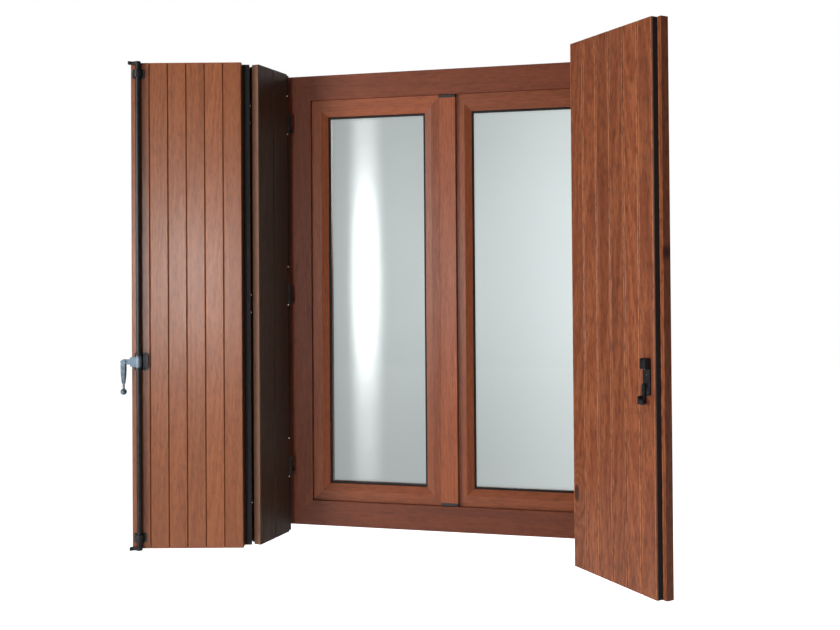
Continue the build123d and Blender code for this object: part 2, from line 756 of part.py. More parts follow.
def rod_guides():
    """Two guides that hold the rod to the leaf, and the loop plate beside the hub."""
    solids = []
    for height in (LEAF_TOP - GUIDE_TOP_INSET, LEAF_BOTTOM + GUIDE_BOTTOM_INSET):
        low = height - GUIDE_HEIGHT / 2
        outline = RectangleRounded(GUIDE_WIDTH, GUIDE_HEIGHT, 6)
        plane = Plane(origin=(ROD_W, INNER_V, height), x_dir=(1, 0, 0), z_dir=(0, -1, 0))
        plate = Pos(0, GUIDE_PLATE, 0) * extrude(plane * outline, amount=GUIDE_PLATE)
        collar = disc(GUIDE_COLLAR_RADIUS, ROD_W, ROD_V, low + 3, low + GUIDE_HEIGHT - 3)
        high = low + GUIDE_HEIGHT
        behind = block(ROD_W - GUIDE_WIDTH, 0, low - OVERSHOOT, ROD_W + GUIDE_WIDTH, INNER_V, high + OVERSHOOT)
        bore = disc(ROD_RADIUS + RUNNING_CLEARANCE, ROD_W, ROD_V, low - OVERSHOOT, high + OVERSHOOT)
        solids.append(joined(plate, collar) - behind - bore)
    solids.append(hub_loop())
    return Compound(children=solids)


def hub_loop():
    """Loop plate beside the hub, with a lug above and below it that holds the rod."""
    plane = Plane(
        origin=(ROD_W - LOOP_OFFSET, INNER_V + LOOP_DEPTH, HUB_HEIGHT),
        x_dir=(1, 0, 0),
        z_dir=(0, -1, 0),
    )
    outer = SlotOverall(LOOP_HEIGHT, LOOP_WIDTH, rotation=90)
    inner = SlotOverall(LOOP_HEIGHT - 2 * LOOP_WALL, LOOP_WIDTH - 2 * LOOP_WALL, rotation=90)
    loop = extrude(plane * outer, amount=LOOP_DEPTH) - extrude(plane * inner, amount=LOOP_DEPTH - 2)
    pieces = [loop]
    for sign in (-1, 1):
        near = HUB_HEIGHT + sign * (HUB_TALL / 2 + KNUCKLE_GAP)
        far = near + sign * LUG_HEIGHT
        low, high = min(near, far), max(near, far)
        pieces.append(disc(GUIDE_COLLAR_RADIUS, ROD_W, ROD_V, low, high))
        pieces.append(block(ROD_W - LOOP_OFFSET, INNER_V, low, ROD_W, INNER_V + LOOP_DEPTH, high))
    body = joined(*pieces)
    behind = block(ROD_W - LOOP_HEIGHT, 0, 0, ROD_W + LOOP_HEIGHT, INNER_V, FRAME_HEIGHT)
    turning = disc(HUB_RADIUS + 0.5, ROD_W, ROD_V, HUB_HEIGHT - HUB_TALL / 2, HUB_HEIGHT + HUB_TALL / 2)
    bore = disc(ROD_RADIUS + RUNNING_CLEARANCE, ROD_W, ROD_V, 0, FRAME_HEIGHT)
    return body - behind - turning - bore


def espagnolette():
    """Rod with its two hooks, the hub clamped on it and the lever that hangs from the hub."""
    top = LEAF_TOP + HOOK_OUTSIDE
    bottom = LEAF_BOTTOM - HOOK_OUTSIDE
    pieces = [disc(ROD_RADIUS, ROD_W, ROD_V, bottom + 1, top - 1)]
    for low in (bottom, top - HOOK_HEIGHT):
        high = low + HOOK_HEIGHT
        pieces.append(disc(HOOK_RADIUS, ROD_W, ROD_V, low, high))
        outline = [
            (ROD_W, ROD_V - 4),
            (ROD_W + HOOK_REACH - 4, ROD_V - 4),
            (ROD_W + HOOK_REACH, ROD_V),
            (ROD_W + HOOK_REACH, ROD_V + HOOK_CURL),
            (ROD_W + HOOK_REACH - 6, ROD_V + HOOK_CURL),
            (ROD_W + HOOK_REACH - 7, ROD_V + 3),
            (ROD_W, ROD_V + 4),
        ]
        pieces.append(prism(outline, low, high))
    rod = joined(*pieces)
    half_hub = HUB_TALL / 2
    hub_low, hub_high = HUB_HEIGHT - half_hub, HUB_HEIGHT + half_hub
    half_depth = HUB_BLOCK_DEPTH / 2
    body = disc(HUB_RADIUS, ROD_W, ROD_V, hub_low, hub_high)
    arm = block(
        ROD_W, ROD_V - half_depth, hub_low + 2, ROD_W + HUB_BLOCK_LENGTH, ROD_V + half_depth, hub_high - 2
    )
    arm = chamfer(arm.edges().filter_by(Axis.Y).sort_by(Axis.X)[-2:], 3.0)
    pivot_x = ROD_W + LEVER_REACH
    half_tongue = TONGUE_DEPTH / 2
    tongue_front, tongue_back = LEVER_V - half_tongue, LEVER_V + half_tongue
    half_arm = HUB_ARM_TALL / 2
    tongue = joined(
        block(ROD_W + 10, tongue_front, HUB_HEIGHT - half_arm, pivot_x, tongue_back, HUB_HEIGHT + half_arm),
        across(half_arm, pivot_x, HUB_HEIGHT, tongue_front, tongue_back),
    )
    half_lever = LEVER_DEPTH / 2
    pin_front, pin_back = LEVER_V - half_lever - 0.5, LEVER_V + half_lever + 0.5
    pin = across(LEVER_PIN_RADIUS, pivot_x, HUB_HEIGHT, pin_front, pin_back)
    bore = disc(ROD_RADIUS, ROD_W, ROD_V, hub_low - 1, hub_high + 1)
    hub = joined(body, arm, tongue, pin) - bore
    return {"espagnolette_rod": rod, "handle_hub": hub, "handle_lever": lever(pivot_x)}


def lever(pivot_x):
    """Lever that hangs from the hub: forked head, flat grip, slim neck and a ball."""
    half_width = LEVER_WIDTH / 2
    half_depth = LEVER_DEPTH / 2
    head = across(half_width, pivot_x, HUB_HEIGHT, LEVER_V - half_depth, LEVER_V + half_depth)
    sections = []
    for drop, width, depth in (
        (0.0, LEVER_WIDTH, LEVER_DEPTH),
        (LEVER_DROP * 0.55, LEVER_WIDTH * 0.95, LEVER_DEPTH * 0.8),
        (LEVER_DROP - 12, LEVER_WIDTH * 0.62, LEVER_DEPTH * 0.62),
    ):
        plane = Plane(origin=(pivot_x, LEVER_V, HUB_HEIGHT - drop), z_dir=(0, 0, -1))
        sections.append(plane * RectangleRounded(width, depth, min(width, depth) * 0.28))
    grip = loft(sections)
    neck_top = HUB_HEIGHT - LEVER_DROP + 14
    neck = disc(LEVER_NECK_RADIUS, pivot_x, LEVER_V, HUB_HEIGHT - LEVER_BALL_DROP, neck_top)
    ball = Pos(pivot_x, LEVER_V, HUB_HEIGHT - LEVER_BALL_DROP) * Sphere(LEVER_BALL_RADIUS)
    slot_reach = half_width + 1.5
    slot = block(
        pivot_x - FORK_CUT_REACH,
        LEVER_V - FORK_SLOT / 2,
        HUB_HEIGHT - slot_reach,
        pivot_x + FORK_CUT_REACH,
        LEVER_V + FORK_SLOT / 2,
        HUB_HEIGHT + FORK_CUT_REACH,
    )
    bore_front, bore_back = LEVER_V - FORK_CUT_REACH, LEVER_V + FORK_CUT_REACH
    bore = across(LEVER_PIN_RADIUS + RUNNING_CLEARANCE, pivot_x, HUB_HEIGHT, bore_front, bore_back)
    return joined(head, grip, neck, ball) - slot - bore


def keeper():
    """Keeper plate with its stop block, and the hooked catch that turns on it."""
    centre = WIDE_PITCH - KEEPER_OUT
    half = KEEPER_WIDTH / 2
    plane = Plane(
        origin=(centre, INNER_V + KEEPER_PLATE, KEEPER_TOP - KEEPER_TALL / 2),
        x_dir=(1, 0, 0),
        z_dir=(0, -1, 0),
    )
    plate = extrude(plane * RectangleRounded(KEEPER_WIDTH, KEEPER_TALL, 6), amount=KEEPER_PLATE)
    stop = block(
        centre - half + 2,
        INNER_V,
        KEEPER_TOP - KEEPER_BLOCK_TALL,
        centre + half - 2,
        INNER_V + KEEPER_BLOCK_DEPTH,
        KEEPER_TOP - 1,
    )
    stop = fillet(stop.edges().filter_by(Axis.X).sort_by(Axis.Y)[-2:], 5.0)
    pivot_w = centre - CATCH_PIVOT_SHIFT
    catch_front = INNER_V + KEEPER_PLATE + CATCH_CLEARANCE
    catch_back = catch_front + CATCH_THICKNESS
    pin = joined(
        across(CATCH_PIN_RADIUS, pivot_w, CATCH_PIVOT_HEIGHT, INNER_V, catch_back + 1.5),
        across(
            CATCH_PIN_RADIUS + 2.5,
            pivot_w,
            CATCH_PIVOT_HEIGHT,
            catch_back + CATCH_CLEARANCE,
            catch_back + 2.5,
        ),
    )
    body = joined(plate, stop, pin)
    arm_low = CATCH_PIVOT_HEIGHT - CATCH_DROP
    arm = joined(
        across(CATCH_RADIUS, pivot_w, CATCH_PIVOT_HEIGHT, catch_front, catch_back),
        block(
            pivot_w - CATCH_RADIUS,
            catch_front,
            arm_low,
            pivot_w + CATCH_RADIUS - 3,
            catch_back,
            CATCH_PIVOT_HEIGHT,
        ),
        block(
            pivot_w - CATCH_RADIUS,
            catch_front,
            arm_low,
            pivot_w - CATCH_RADIUS + CATCH_THICKNESS,
            INNER_V + CATCH_DEPTH + CATCH_THICKNESS,
            arm_low + CATCH_TALL,
        ),
        block(
            pivot_w - CATCH_RADIUS,
            INNER_V + CATCH_DEPTH,
            arm_low,
            pivot_w - CATCH_RADIUS + CATCH_LIP,
            INNER_V + CATCH_DEPTH + CATCH_THICKNESS,
            arm_low + CATCH_TALL * 0.6,
        ),
    )
    bore = across(
        CATCH_PIN_RADIUS + RUNNING_CLEARANCE, pivot_w, CATCH_PIVOT_HEIGHT, INNER_V, catch_back + 5
    )
    return {"keeper_plate": body, "keeper_catch": arm - bore}


def place_shutters():
    """All leaf parts turned to their pose at rest, with the right side mirrored from the left."""
    placed = {}
    for side, narrow_open, wide_open in (
        ("left", LEFT_NARROW_OPEN, LEFT_WIDE_OPEN),
        ("right", RIGHT_NARROW_OPEN, RIGHT_WIDE_OPEN),
    ):
        hinge = Pos(-HINGE_X, HINGE_Y, 0) * Rot(0, 0, -narrow_open)
        fold = hinge * Pos(NARROW_PITCH, FOLD_V, 0) * Rot(0, 0, -wide_open)
        groups = [(hinge, f"{side}_narrow", narrow_leaf()), (fold, f"{side}_wide", wide_leaf(side))]
        extras = {}
        if side == "left":
            extras["rod_guides"] = rod_guides()
            extras.update(espagnolette())
        else:
            extras.update(keeper())
        for place, prefix, parts in groups:
            for name, shape in parts.items():
                placed[f"{prefix}_{name}"] = turned(place * shape, side)
        for name, shape in extras.items():
            placed[name] = turned(fold * shape, side)
    return placed


def turned(shape, side):
    """The right pair is the mirror image of the left pair's layout."""
    return mirror(shape, about=Plane.YZ) if side == "right" else shape


def build():
    """Every node of the part, by name."""
    nodes = {}
    nodes.update(window_frame())
    nodes["shutter_pintles"] = pintles()
    for side in ("left", "right"):
        nodes.update(sash(side))
        nodes.update(glazing(side))
    nodes.update(astragals())
    nodes.update(sash_hinges())
    nodes.update(window_handle())
    nodes.update(place_shutters())
    return nodes


os.makedirs("parts", exist_ok=True)
for node_name, node_shape in build().items():
    export_step(node_shape, f"parts/{node_name}.step")
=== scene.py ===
"""Looks for a two-sash window in its frame, with a four-leaf folding board shutter.

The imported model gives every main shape. This script gives each piece its finish, adds the screws, the
frame seals and the other small trim, and sets up the floor, the light and the camera.
"""

import logging
import math
from dataclasses import dataclass, field
from enum import Enum
from typing import Iterable, Sequence

import bmesh
import bpy
from bpy.types import Material, Mesh, Node, NodeSocket, NodeTree, Object
from mathutils import Matrix, Vector


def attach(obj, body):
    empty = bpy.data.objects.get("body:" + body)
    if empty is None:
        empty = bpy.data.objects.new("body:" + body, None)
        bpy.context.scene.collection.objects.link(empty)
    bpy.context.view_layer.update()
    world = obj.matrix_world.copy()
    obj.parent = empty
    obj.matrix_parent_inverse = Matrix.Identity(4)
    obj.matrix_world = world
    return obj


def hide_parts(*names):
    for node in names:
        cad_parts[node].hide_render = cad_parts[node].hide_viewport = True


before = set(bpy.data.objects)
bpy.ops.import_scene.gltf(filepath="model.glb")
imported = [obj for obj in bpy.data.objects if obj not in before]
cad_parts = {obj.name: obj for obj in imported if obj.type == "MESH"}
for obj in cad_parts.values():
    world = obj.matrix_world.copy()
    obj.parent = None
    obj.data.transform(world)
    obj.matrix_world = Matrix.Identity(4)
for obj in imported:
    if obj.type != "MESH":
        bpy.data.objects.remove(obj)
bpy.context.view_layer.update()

logging.basicConfig(level=logging.INFO, format="%(message)s")
log = logging.getLogger("window")

Colour = tuple[float, float, float]
Place = tuple[float, float, float]
Point = tuple[float, float]
Floats = tuple[float, ...]
# A plain piece counts as one board that reaches far past it on both sides.
PLAIN_START = -5.0
PLAIN_PITCH = 10.0


def srgb(red: float, green: float, blue: float) -> Colour:
    """Turns a colour in 0..255 display values into linear light.

    Args:
        red: display red.
        green: display green.
        blue: display blue.

    Returns:
        The three linear values.
    """
    return tuple(
        v / 12.92 if v <= 0.04045 else ((v + 0.055) / 1.055) ** 2.4
        for v in (red / 255, green / 255, blue / 255)
    )


class Grain(Enum):
    """Which way the fibres of a wooden piece run."""

    UPRIGHT = "upright"
    LEVEL = "level"


class Side(Enum):
    """The two halves of the window, seen from outdoors."""

    LEFT = "left"
    RIGHT = "right"


@dataclass
class Graph:
    """A short hand for filling a node tree."""

    tree: NodeTree
    count: int = 0

    def __post_init__(self) -> None:
        """Empties the tree."""
        self.tree.nodes.clear()

    def add(self, kind: str, **settings: object) -> Node:
        """Adds a node.

        Args:
            kind: the node's type name.
            settings: attributes to set. A name that starts with in_ is an input, by its place or by
                its name with _ for a space.

        Returns:
            The new node.
        """
        node = self.tree.nodes.new(kind)
        node.location = (220 * (self.count % 8), -260 * (self.count // 8))
        self.count += 1
        for name, value in settings.items():
            if name.startswith("in_"):
                label = name[3:].replace("_", " ")
                self.feed(node.inputs[int(label) if label.isdigit() else label], value)
            else:
                setattr(node, name, value)
        return node

    def feed(self, socket: NodeSocket, value: object) -> None:
        """Links an output to a socket, or sets the socket's own value.

        Args:
            socket: the input socket.
            value: an output socket, a colour or a plain value.
        """
        if isinstance(value, NodeSocket):
            self.tree.links.new(value, socket)
        elif isinstance(value, tuple) and len(value) == 3 and socket.type == "RGBA":
            socket.default_value = (*value, 1.0)
        else:
            socket.default_value = value

    def math(self, operation: str, *values: object) -> NodeSocket:
        """Adds a Math node.

        Args:
            operation: the node's operation.
            values: its inputs in order.

        Returns:
            The node's output.
        """
        node = self.add("ShaderNodeMath", operation=operation)
        for socket, value in zip(node.inputs, values):
            self.feed(socket, value)
        return node.outputs[0]

    def times(self, first: object, second: object) -> NodeSocket:
        """Multiplies two values."""
        return self.math("MULTIPLY", first, second)

    def span(self, value: object, low: float, high: float, first: float, last: float) -> NodeSocket:
        """Maps low..high smoothly to first..last, held at both ends.

        Args:
            value: the value to map.
            low: where the range starts.
            high: where it ends.
            first: the result at its start.
            last: the result at its end.

        Returns:
            The mapped value.
        """
        return self.add("ShaderNodeMapRange", interpolation_type="SMOOTHSTEP", in_0=value, in_1=low,
                        in_2=high, in_3=first, in_4=last).outputs[0]

    def blend(self, share: object, first: object, second: object, mode: str = "MIX") -> NodeSocket:
        """Mixes two colours.

        Args:
            share: how much of the second colour shows.
            first: the first colour.
            second: the second colour.
            mode: the way they are mixed.

        Returns:
            The mixed colour.
        """
        return self.add("ShaderNodeMix", data_type="RGBA", blend_type=mode, in_0=share, in_6=first,
                        in_7=second).outputs[2]

    def noise(self, vector: object, scale: float, detail: float, rough: float = 0.5) -> NodeSocket:
        """Adds a Noise Texture.

        Args:
            vector: where it is read.
            scale: how fine it is.
            detail: how many finer layers it has.
            rough: how strong the finer layers are.

        Returns:
            Its value.
        """
        return self.add("ShaderNodeTexNoise", in_Vector=vector, in_Scale=scale, in_Detail=detail,
                        in_Roughness=rough).outputs[0]

    def vector(self, x: object, y: object, z: object) -> NodeSocket:
        """Joins three values into a vector."""
        return self.add("ShaderNodeCombineXYZ", in_0=x, in_1=y, in_2=z).outputs[0]

    def surface(self, colour: object, rough: object, fixed: dict[str, float],
                relief: tuple[object, float, float] | None = None) -> None:
        """Adds the shader and the output of a material.

        Args:
            colour: the base colour.
            rough: the roughness.
            fixed: values for the shader's other sockets, by name.
            relief: a height, its strength and its distance, or nothing for a smooth surface.
        """
        shader = self.add("ShaderNodeBsdfPrincipled", in_Base_Color=colour, in_Roughness=rough)
        if relief:
            height, strength, distance = relief
            bump = self.add("ShaderNodeBump", in_Height=height, in_Strength=strength, in_Distance=distance)
            self.feed(shader.inputs["Normal"], bump.outputs[0])
        for label, value in fixed.items():
            shader.inputs[label].default_value = value
        self.add("ShaderNodeOutputMaterial", in_0=shader.outputs[0])

    def deliver(self, values: dict[str, object]) -> None:
        """Ends a node group with its outputs.

        Args:
            values: what each output gives, by name.
        """
        for label in values:
            self.tree.interface.new_socket(name=label, in_out="OUTPUT", socket_type="NodeSocketFloat")
        end = self.add("NodeGroupOutput")
        for label, value in values.items():
            self.feed(end.inputs[label], value)


def new_material(name: str) -> tuple[Material, Graph]:
    """Starts a material.

    Args:
        name: its name.

    Returns:
        The material and the graph of its nodes.
    """
    material = bpy.data.materials.new(name)
    material.use_nodes = True
    return material, Graph(material.node_tree)


def new_group(name: str, **inputs: float | None) -> tuple[Graph, dict[str, NodeSocket]]:
    """Starts a shader node group.

    Args:
        name: the group's name.
        inputs: the default of each input, or None for a vector, with _ in place of a space in its name.

    Returns:
        The graph and its inputs by name.
    """
    tree = bpy.data.node_groups.new(name, "ShaderNodeTree")
    for label, default in inputs.items():
        kind = "NodeSocketVector" if default is None else "NodeSocketFloat"
        socket = tree.interface.new_socket(name=label.replace("_", " "), in_out="INPUT", socket_type=kind)
        if default is not None:
            socket.default_value = default
    graph = Graph(tree)
    return graph, {s.name: s for s in graph.add("NodeGroupInput").outputs if s.name}


def pine_group() -> NodeTree:
    """Builds the shared wood figure: growth rings, fibres, knots, board tints, painted shade and highlights.

    Returns:
        The node group. Its vector runs across the board in X, through it in Y and along the grain in Z.
    """
    g, i = new_group("pine_figure", Vector=None, Board_Start=0.0, Board_Pitch=0.05, Ring_Width=0.006,
                     Knot_Share=0.5, Seed=0.0)
    parts = g.add("ShaderNodeSeparateXYZ", in_0=i["Vector"]).outputs
    across, depth, along = parts[0], parts[1], parts[2]
    shifted = g.math("SUBTRACT", across, i["Board Start"])
    board = g.math("FLOOR", g.math("DIVIDE", shifted, i["Board Pitch"]))
    key = g.math("ADD", board, g.times(i["Seed"], 17.31))
    chance = g.add("ShaderNodeTexWhiteNoise", noise_dimensions="1D", in_W=key)
    random = g.add("ShaderNodeSeparateColor", in_0=chance.outputs["Color"]).outputs
    tint = chance.outputs["Value"]
    middle = g.times(g.math("ADD", board, 0.5), i["Board Pitch"])
    local = g.math("SUBTRACT", shifted, middle)
    shuffled = g.math("MULTIPLY_ADD", key, 3.7, along)

    def streaks(fine: float, long: float, detail: float, rough: float = 0.5) -> NodeSocket:
        """Draws noise along the grain.

        Args:
            fine: its scale across the board and through it.
            long: its scale along the grain.
            detail: how many finer layers it has.
            rough: how strong the finer layers are.

        Returns:
            The noise.
        """
        return g.noise(g.vector(g.times(across, fine), g.times(depth, fine), g.times(shuffled, long)),
                       1.0, detail, rough)

    # Knots: scattered ellipses that also push the rings aside.
    spot = g.add("ShaderNodeTexVoronoi", feature="F1", voronoi_dimensions="2D", in_Scale=1.0,
                 in_Vector=g.vector(g.times(across, 9.0), g.times(shuffled, 3.4), 0.0))
    lottery = g.add("ShaderNodeSeparateColor", in_0=spot.outputs["Color"]).outputs[0]
    chosen = g.math("LESS_THAN", lottery, i["Knot Share"])
    reach = spot.outputs["Distance"]
    knot = g.times(g.span(reach, 0.055, 0.10, 1.0, 0.0), chosen)
    push = g.times(g.span(reach, 0.0, 0.42, 0.02, 0.0), chosen)
    # Rings round a pith that wanders beside the board, so the face shows long arches.
    wander = g.math("SUBTRACT", g.noise(g.vector(
        g.times(across, 2.0), 0.0, g.times(shuffled, 1.3)), 1.0, 2.0), 0.5)
    pith_x = g.math("MULTIPLY_ADD", wander, 0.09, g.math("MULTIPLY_ADD", random[0], 0.06, -0.03))
    pith_y = g.math("MULTIPLY_ADD", random[1], 0.05, 0.035)
    side = g.math("SUBTRACT", local, pith_x)
    under = g.math("ADD", depth, pith_y)
    radius = g.math("SQRT", g.math("ADD", g.times(side, side), g.times(under, under)))
    lean = g.times(along, g.math("MULTIPLY_ADD", random[2], 0.05, -0.025))
    ripple = g.times(streaks(30.0, 5.0, 2.0), 0.004)
    path = g.math("ADD", g.math("ADD", radius, lean), g.math("ADD", ripple, push))
    turn = g.math("FRACT", g.math("DIVIDE", path, i["Ring Width"]))
    rings = g.times(g.span(turn, 0.15, 0.86, 0.0, 1.0), g.span(turn, 0.9, 1.0, 1.0, 0.0))
    # Fibres are fine streaks, the cloud is slow stain and the mottle lies between them.
    fibre = streaks(420.0, 9.0, 3.0, 0.6)
    cloud = streaks(26.0, 1.6, 3.0, 0.55)
    mottle = streaks(150.0, 34.0, 3.0, 0.62)
    height = g.math("ADD", g.times(rings, 0.35), g.times(fibre, 0.65))
    # Painted shade darkens the V between two boards, and a painted highlight, broken up in places, lies on
    # the board edges beside it.
    rim = g.math("SUBTRACT", g.times(i["Board Pitch"], 0.5), g.math("ABSOLUTE", local))
    groove_shade = g.span(rim, 0.0006, 0.0027, 1.0, 0.0)
    highlight_breakup = g.noise(g.vector(across, depth, g.times(shuffled, 14.0)), 3.0, 2.0)
    edge = g.times(g.span(rim, 0.0018, 0.0026, 0.0, 1.0), g.span(rim, 0.0030, 0.0048, 1.0, 0.0))
    arris_highlight = g.times(edge, g.span(highlight_breakup, 0.3, 0.62, 0.0, 1.0))
    g.deliver({"Rings": rings, "Fibre": fibre, "Knot": knot, "Tint": tint, "Cloud": cloud, "Height": height,
               "Groove Shade": groove_shade, "Arris Highlight": arris_highlight, "Mottle": mottle, "Across": across})
    return g.tree


def dust_group() -> NodeTree:
    """Builds the shared handling wear: fine specks and smudges for metal, rubber and plastic.

    Returns:
        The node group, with two masks and a height.
    """
    g, i = new_group("handling_wear", Vector=None, Scale=60.0)
    scaled = g.add("ShaderNodeVectorMath", operation="SCALE", in_0=i["Vector"],
                   in_Scale=i["Scale"]).outputs[0]
    smudge = g.span(g.noise(scaled, 1.0, 4.0, 0.6), 0.35, 0.7, 0.0, 1.0)
    speck = g.span(g.noise(scaled, 9.0, 2.0, 0.5), 0.62, 0.74, 0.0, 1.0)
    height = g.noise(scaled, 14.0, 2.0, 0.5)
    g.deliver({"Smudge": smudge, "Speck": speck, "Height": height})
    return g.tree


def handled(g: Graph, scale: float) -> bpy.types.NodeOutputs:
    """Adds the shared handling wear to a material.

    Args:
        g: the material's graph.
        scale: how fine the wear is.

    Returns:
        The group's outputs.
    """
    return g.add("ShaderNodeGroup", node_tree=bpy.data.node_groups["handling_wear"], in_Scale=scale,
                 in_Vector=g.add("ShaderNodeTexCoord").outputs["Object"]).outputs


@dataclass(frozen=True)
class Placement:
    """Where a piece's own frame lies at rest: turned about Z, moved, and mirrored for the right side."""

    x: float = 0.0
    y: float = 0.0
    degrees: float = 0.0
    mirrored: bool = False

    def world(self, along: float, through: float, up: float) -> Vector:
        """Gives the world point of a point in the piece's own frame.

        Args:
            along: metres along the piece.
            through: metres through it, towards the room.
            up: metres up.

        Returns:
            The point.
        """
        x, y = self._moved(along, through)
        return Vector((-x if self.mirrored else x, y, up))

    def _moved(self, along: float, through: float) -> Point:
        """Turns and moves a point by the frame, before any mirroring.

        Args:
            along: metres along the piece.
            through: metres through it.

        Returns:
            Its x and y.
        """
        turn = math.radians(self.degrees)
        x = self.x + along * math.cos(turn) + through * math.sin(turn)
        y = self.y - along * math.sin(turn) + through * math.cos(turn)
        return x, y

    def aim(self, along: float, through: float) -> Vector:
        """Gives the world direction of a level direction in the piece's own frame."""
        return (self.world(along, through, 0.0) - self.world(0.0, 0.0, 0.0)).normalized()

    def step(self, along: float, through: float, degrees: float) -> "Placement":
        """Gives the frame of the next leaf, hinged at a point of this one."""
        return Placement(*self._moved(along, through), self.degrees + degrees, self.mirrored)

    def mapping(self, graph: Graph) -> NodeSocket:
        """Adds the nodes that turn Object coordinates into the piece's own frame.

        Args:
            graph: the material's graph.

        Returns:
            The vector in the piece's own frame.
        """
        turn = math.radians(self.degrees)
        return graph.add(
            "ShaderNodeMapping", vector_type="POINT", in_Rotation=(0.0, 0.0, turn),
            in_Vector=graph.add("ShaderNodeTexCoord").outputs["Object"],
            in_Scale=(-1.0 if self.mirrored else 1.0, 1.0, 1.0),
            in_Location=(-(self.x * math.cos(turn) - self.y * math.sin(turn)),
                         -(self.x * math.sin(turn) + self.y * math.cos(turn)), 0.0)).outputs[0]


@dataclass(frozen=True)
class WoodFinish:
    """Stained pine: tones, rings, knots, gloss, painted shade in the grooves and painted edge highlights.

    Past edge_start, measured across the leaf, the colour is edge_gain times as light; the narrow leaf uses
    this to keep its painted shade off its end face. relief is the strength and the depth in metres of the
    fibres.
    """

    name: str
    pale: Colour
    body: Colour
    dark: Colour
    ring_width: float = 0.007
    knots: float = 0.2
    contrast: float = 0.6
    roughness: float = 0.42
    coat: float = 0.25
    tint: float = 0.14
    groove_shade: float = 0.6
    arris_highlight: float = 0.1
    mottle: float = 0.35
    edge_start: float = 9.0
    edge_gain: float = 1.0
    stain: float = 0.4
    knot_stain: float = 0.8
    knot_tone: float = 0.35
    groove_shade_tone: float = 0.3
    arris_highlight_tone: Colour = (1.7, 2.0, 1.9)
    streak_rough: float = 0.12
    coat_rough: float = 0.25
    specular: float = 0.3
    relief: Point = (0.22, 0.0006)

    def build(self, place: Placement, grain: Grain, start: float, pitch: float, seed: float) -> Material:
        """Makes the material for one piece or one row of boards.

        Args:
            place: the frame that the pattern follows.
            grain: the way the fibres run.
            start: where the first board starts, in the piece's own frame.
            pitch: the width of a board.
            seed: a number that shifts the pattern.

        Returns:
            The material.
        """
        material, g = new_material(f"{self.name}_{grain.value}_{int(seed)}")
        vector = place.mapping(g)
        if grain is Grain.LEVEL:
            node = g.add("ShaderNodeSeparateXYZ", in_0=vector)
            vector = g.vector(node.outputs[2], node.outputs[1], node.outputs[0])
        out = g.add("ShaderNodeGroup", node_tree=bpy.data.node_groups["pine_figure"], in_Vector=vector,
                    in_Board_Start=start, in_Board_Pitch=pitch, in_Ring_Width=self.ring_width,
                    in_Knot_Share=self.knots, in_Seed=seed).outputs
        streak = g.span(out["Fibre"], 0.3, 0.7, 0.0, 1.0)
        faint = self.stain * self.contrast
        colour = g.blend(g.times(out["Rings"], self.contrast), self.pale, self.body)
        for share, tone in (
            (g.times(streak, faint), self.dark),
            (g.span(out["Mottle"], 0.40, 0.72, 0.0, self.mottle), self.dark),
            (g.span(out["Cloud"], 0.45, 0.78, 0.0, faint), self.dark),
            (g.times(out["Knot"], self.knot_stain), tuple(self.knot_tone * c for c in self.dark)),
            # Painted shade darkens the V between boards, and painted highlights light the board edges beside
            # it.
            (g.times(out["Groove Shade"], self.groove_shade), tuple(self.groove_shade_tone * c for c in self.dark)),
            (g.times(out["Arris Highlight"], self.arris_highlight), tuple(k * c for k, c in zip(self.arris_highlight_tone, self.pale))),
        ):
            colour = g.blend(share, colour, tone)
        shade = g.times(g.span(out["Tint"], 0.0, 1.0, 1.0 - self.tint, 1.0 + self.tint),
                        g.span(out["Across"], self.edge_start, self.edge_start + 0.001, 1.0, self.edge_gain))
        grey = g.add("ShaderNodeCombineColor", in_0=shade, in_1=shade, in_2=shade)
        colour = g.blend(1.0, colour, grey.outputs[0], "MULTIPLY")
        g.surface(
            colour,
            g.math("MULTIPLY_ADD", streak, self.streak_rough, self.roughness - self.streak_rough / 2),
            {"Coat Weight": self.coat, "Coat Roughness": self.coat_rough,
             "Specular IOR Level": self.specular},
            (out["Height"], *self.relief))
        return material

    def plain(self, node: str, grain: Grain, seed: float) -> None:
        """Dresses a single piece that lies in the window's own frame.

        Args:
            node: the CAD node.
            grain: the way its fibres run.
            seed: a number that shifts the pattern.
        """
        dress([node], self.build(Placement(), grain, PLAIN_START, PLAIN_PITCH, seed))


@dataclass(frozen=True)
class HardFinish:
    """Metal, plastic or rubber: a colour, its gloss and how worn it looks."""

    name: str
    colour: Colour
    worn: Colour
    metallic: float = 0.0
    roughness: float = 0.4
    wear: float = 0.3
    wear_scale: float = 60.0
    bump: float = 0.1
    depth: float = 0.0003
    smudge_rough: float = 0.14

    def build(self) -> Material:
        """Makes the material.

        Returns:
            The material.
        """
        material, g = new_material(self.name)
        out = handled(g, self.wear_scale)
        colour = g.blend(g.times(out["Smudge"], self.wear), self.colour, self.worn)
        colour = g.blend(g.times(out["Speck"], self.wear * 0.5), colour, self.worn)
        g.surface(
            colour, g.math("MULTIPLY_ADD", out["Smudge"], self.smudge_rough, self.roughness),
            {"Metallic": self.metallic}, (out["Height"], self.bump, self.depth))
        return material


@dataclass(frozen=True)
class GlassFinish:
    """Float glass of the double glazing, faintly grey-green."""

    name: str = "float_glass"
    colour: Colour = (0.94, 0.965, 0.96)
    roughness: float = 0.035
    smudge_scale: float = 3.0
    smudge_share: float = 0.35
    smudge_tone: float = 0.97
    smudge_rough: float = 0.01
    refraction: float = 1.5

    def build(self) -> Material:
        """Makes the material.

        Returns:
            The material.
        """
        material, g = new_material(self.name)
        smudge = handled(g, self.smudge_scale)["Smudge"]
        tint = g.blend(g.times(smudge, self.smudge_share), self.colour,
                       tuple(self.smudge_tone * c for c in self.colour))
        g.surface(tint, g.math("MULTIPLY_ADD", smudge, self.smudge_rough, self.roughness),
                  {"Transmission Weight": 1.0, "IOR": self.refraction})
        return material
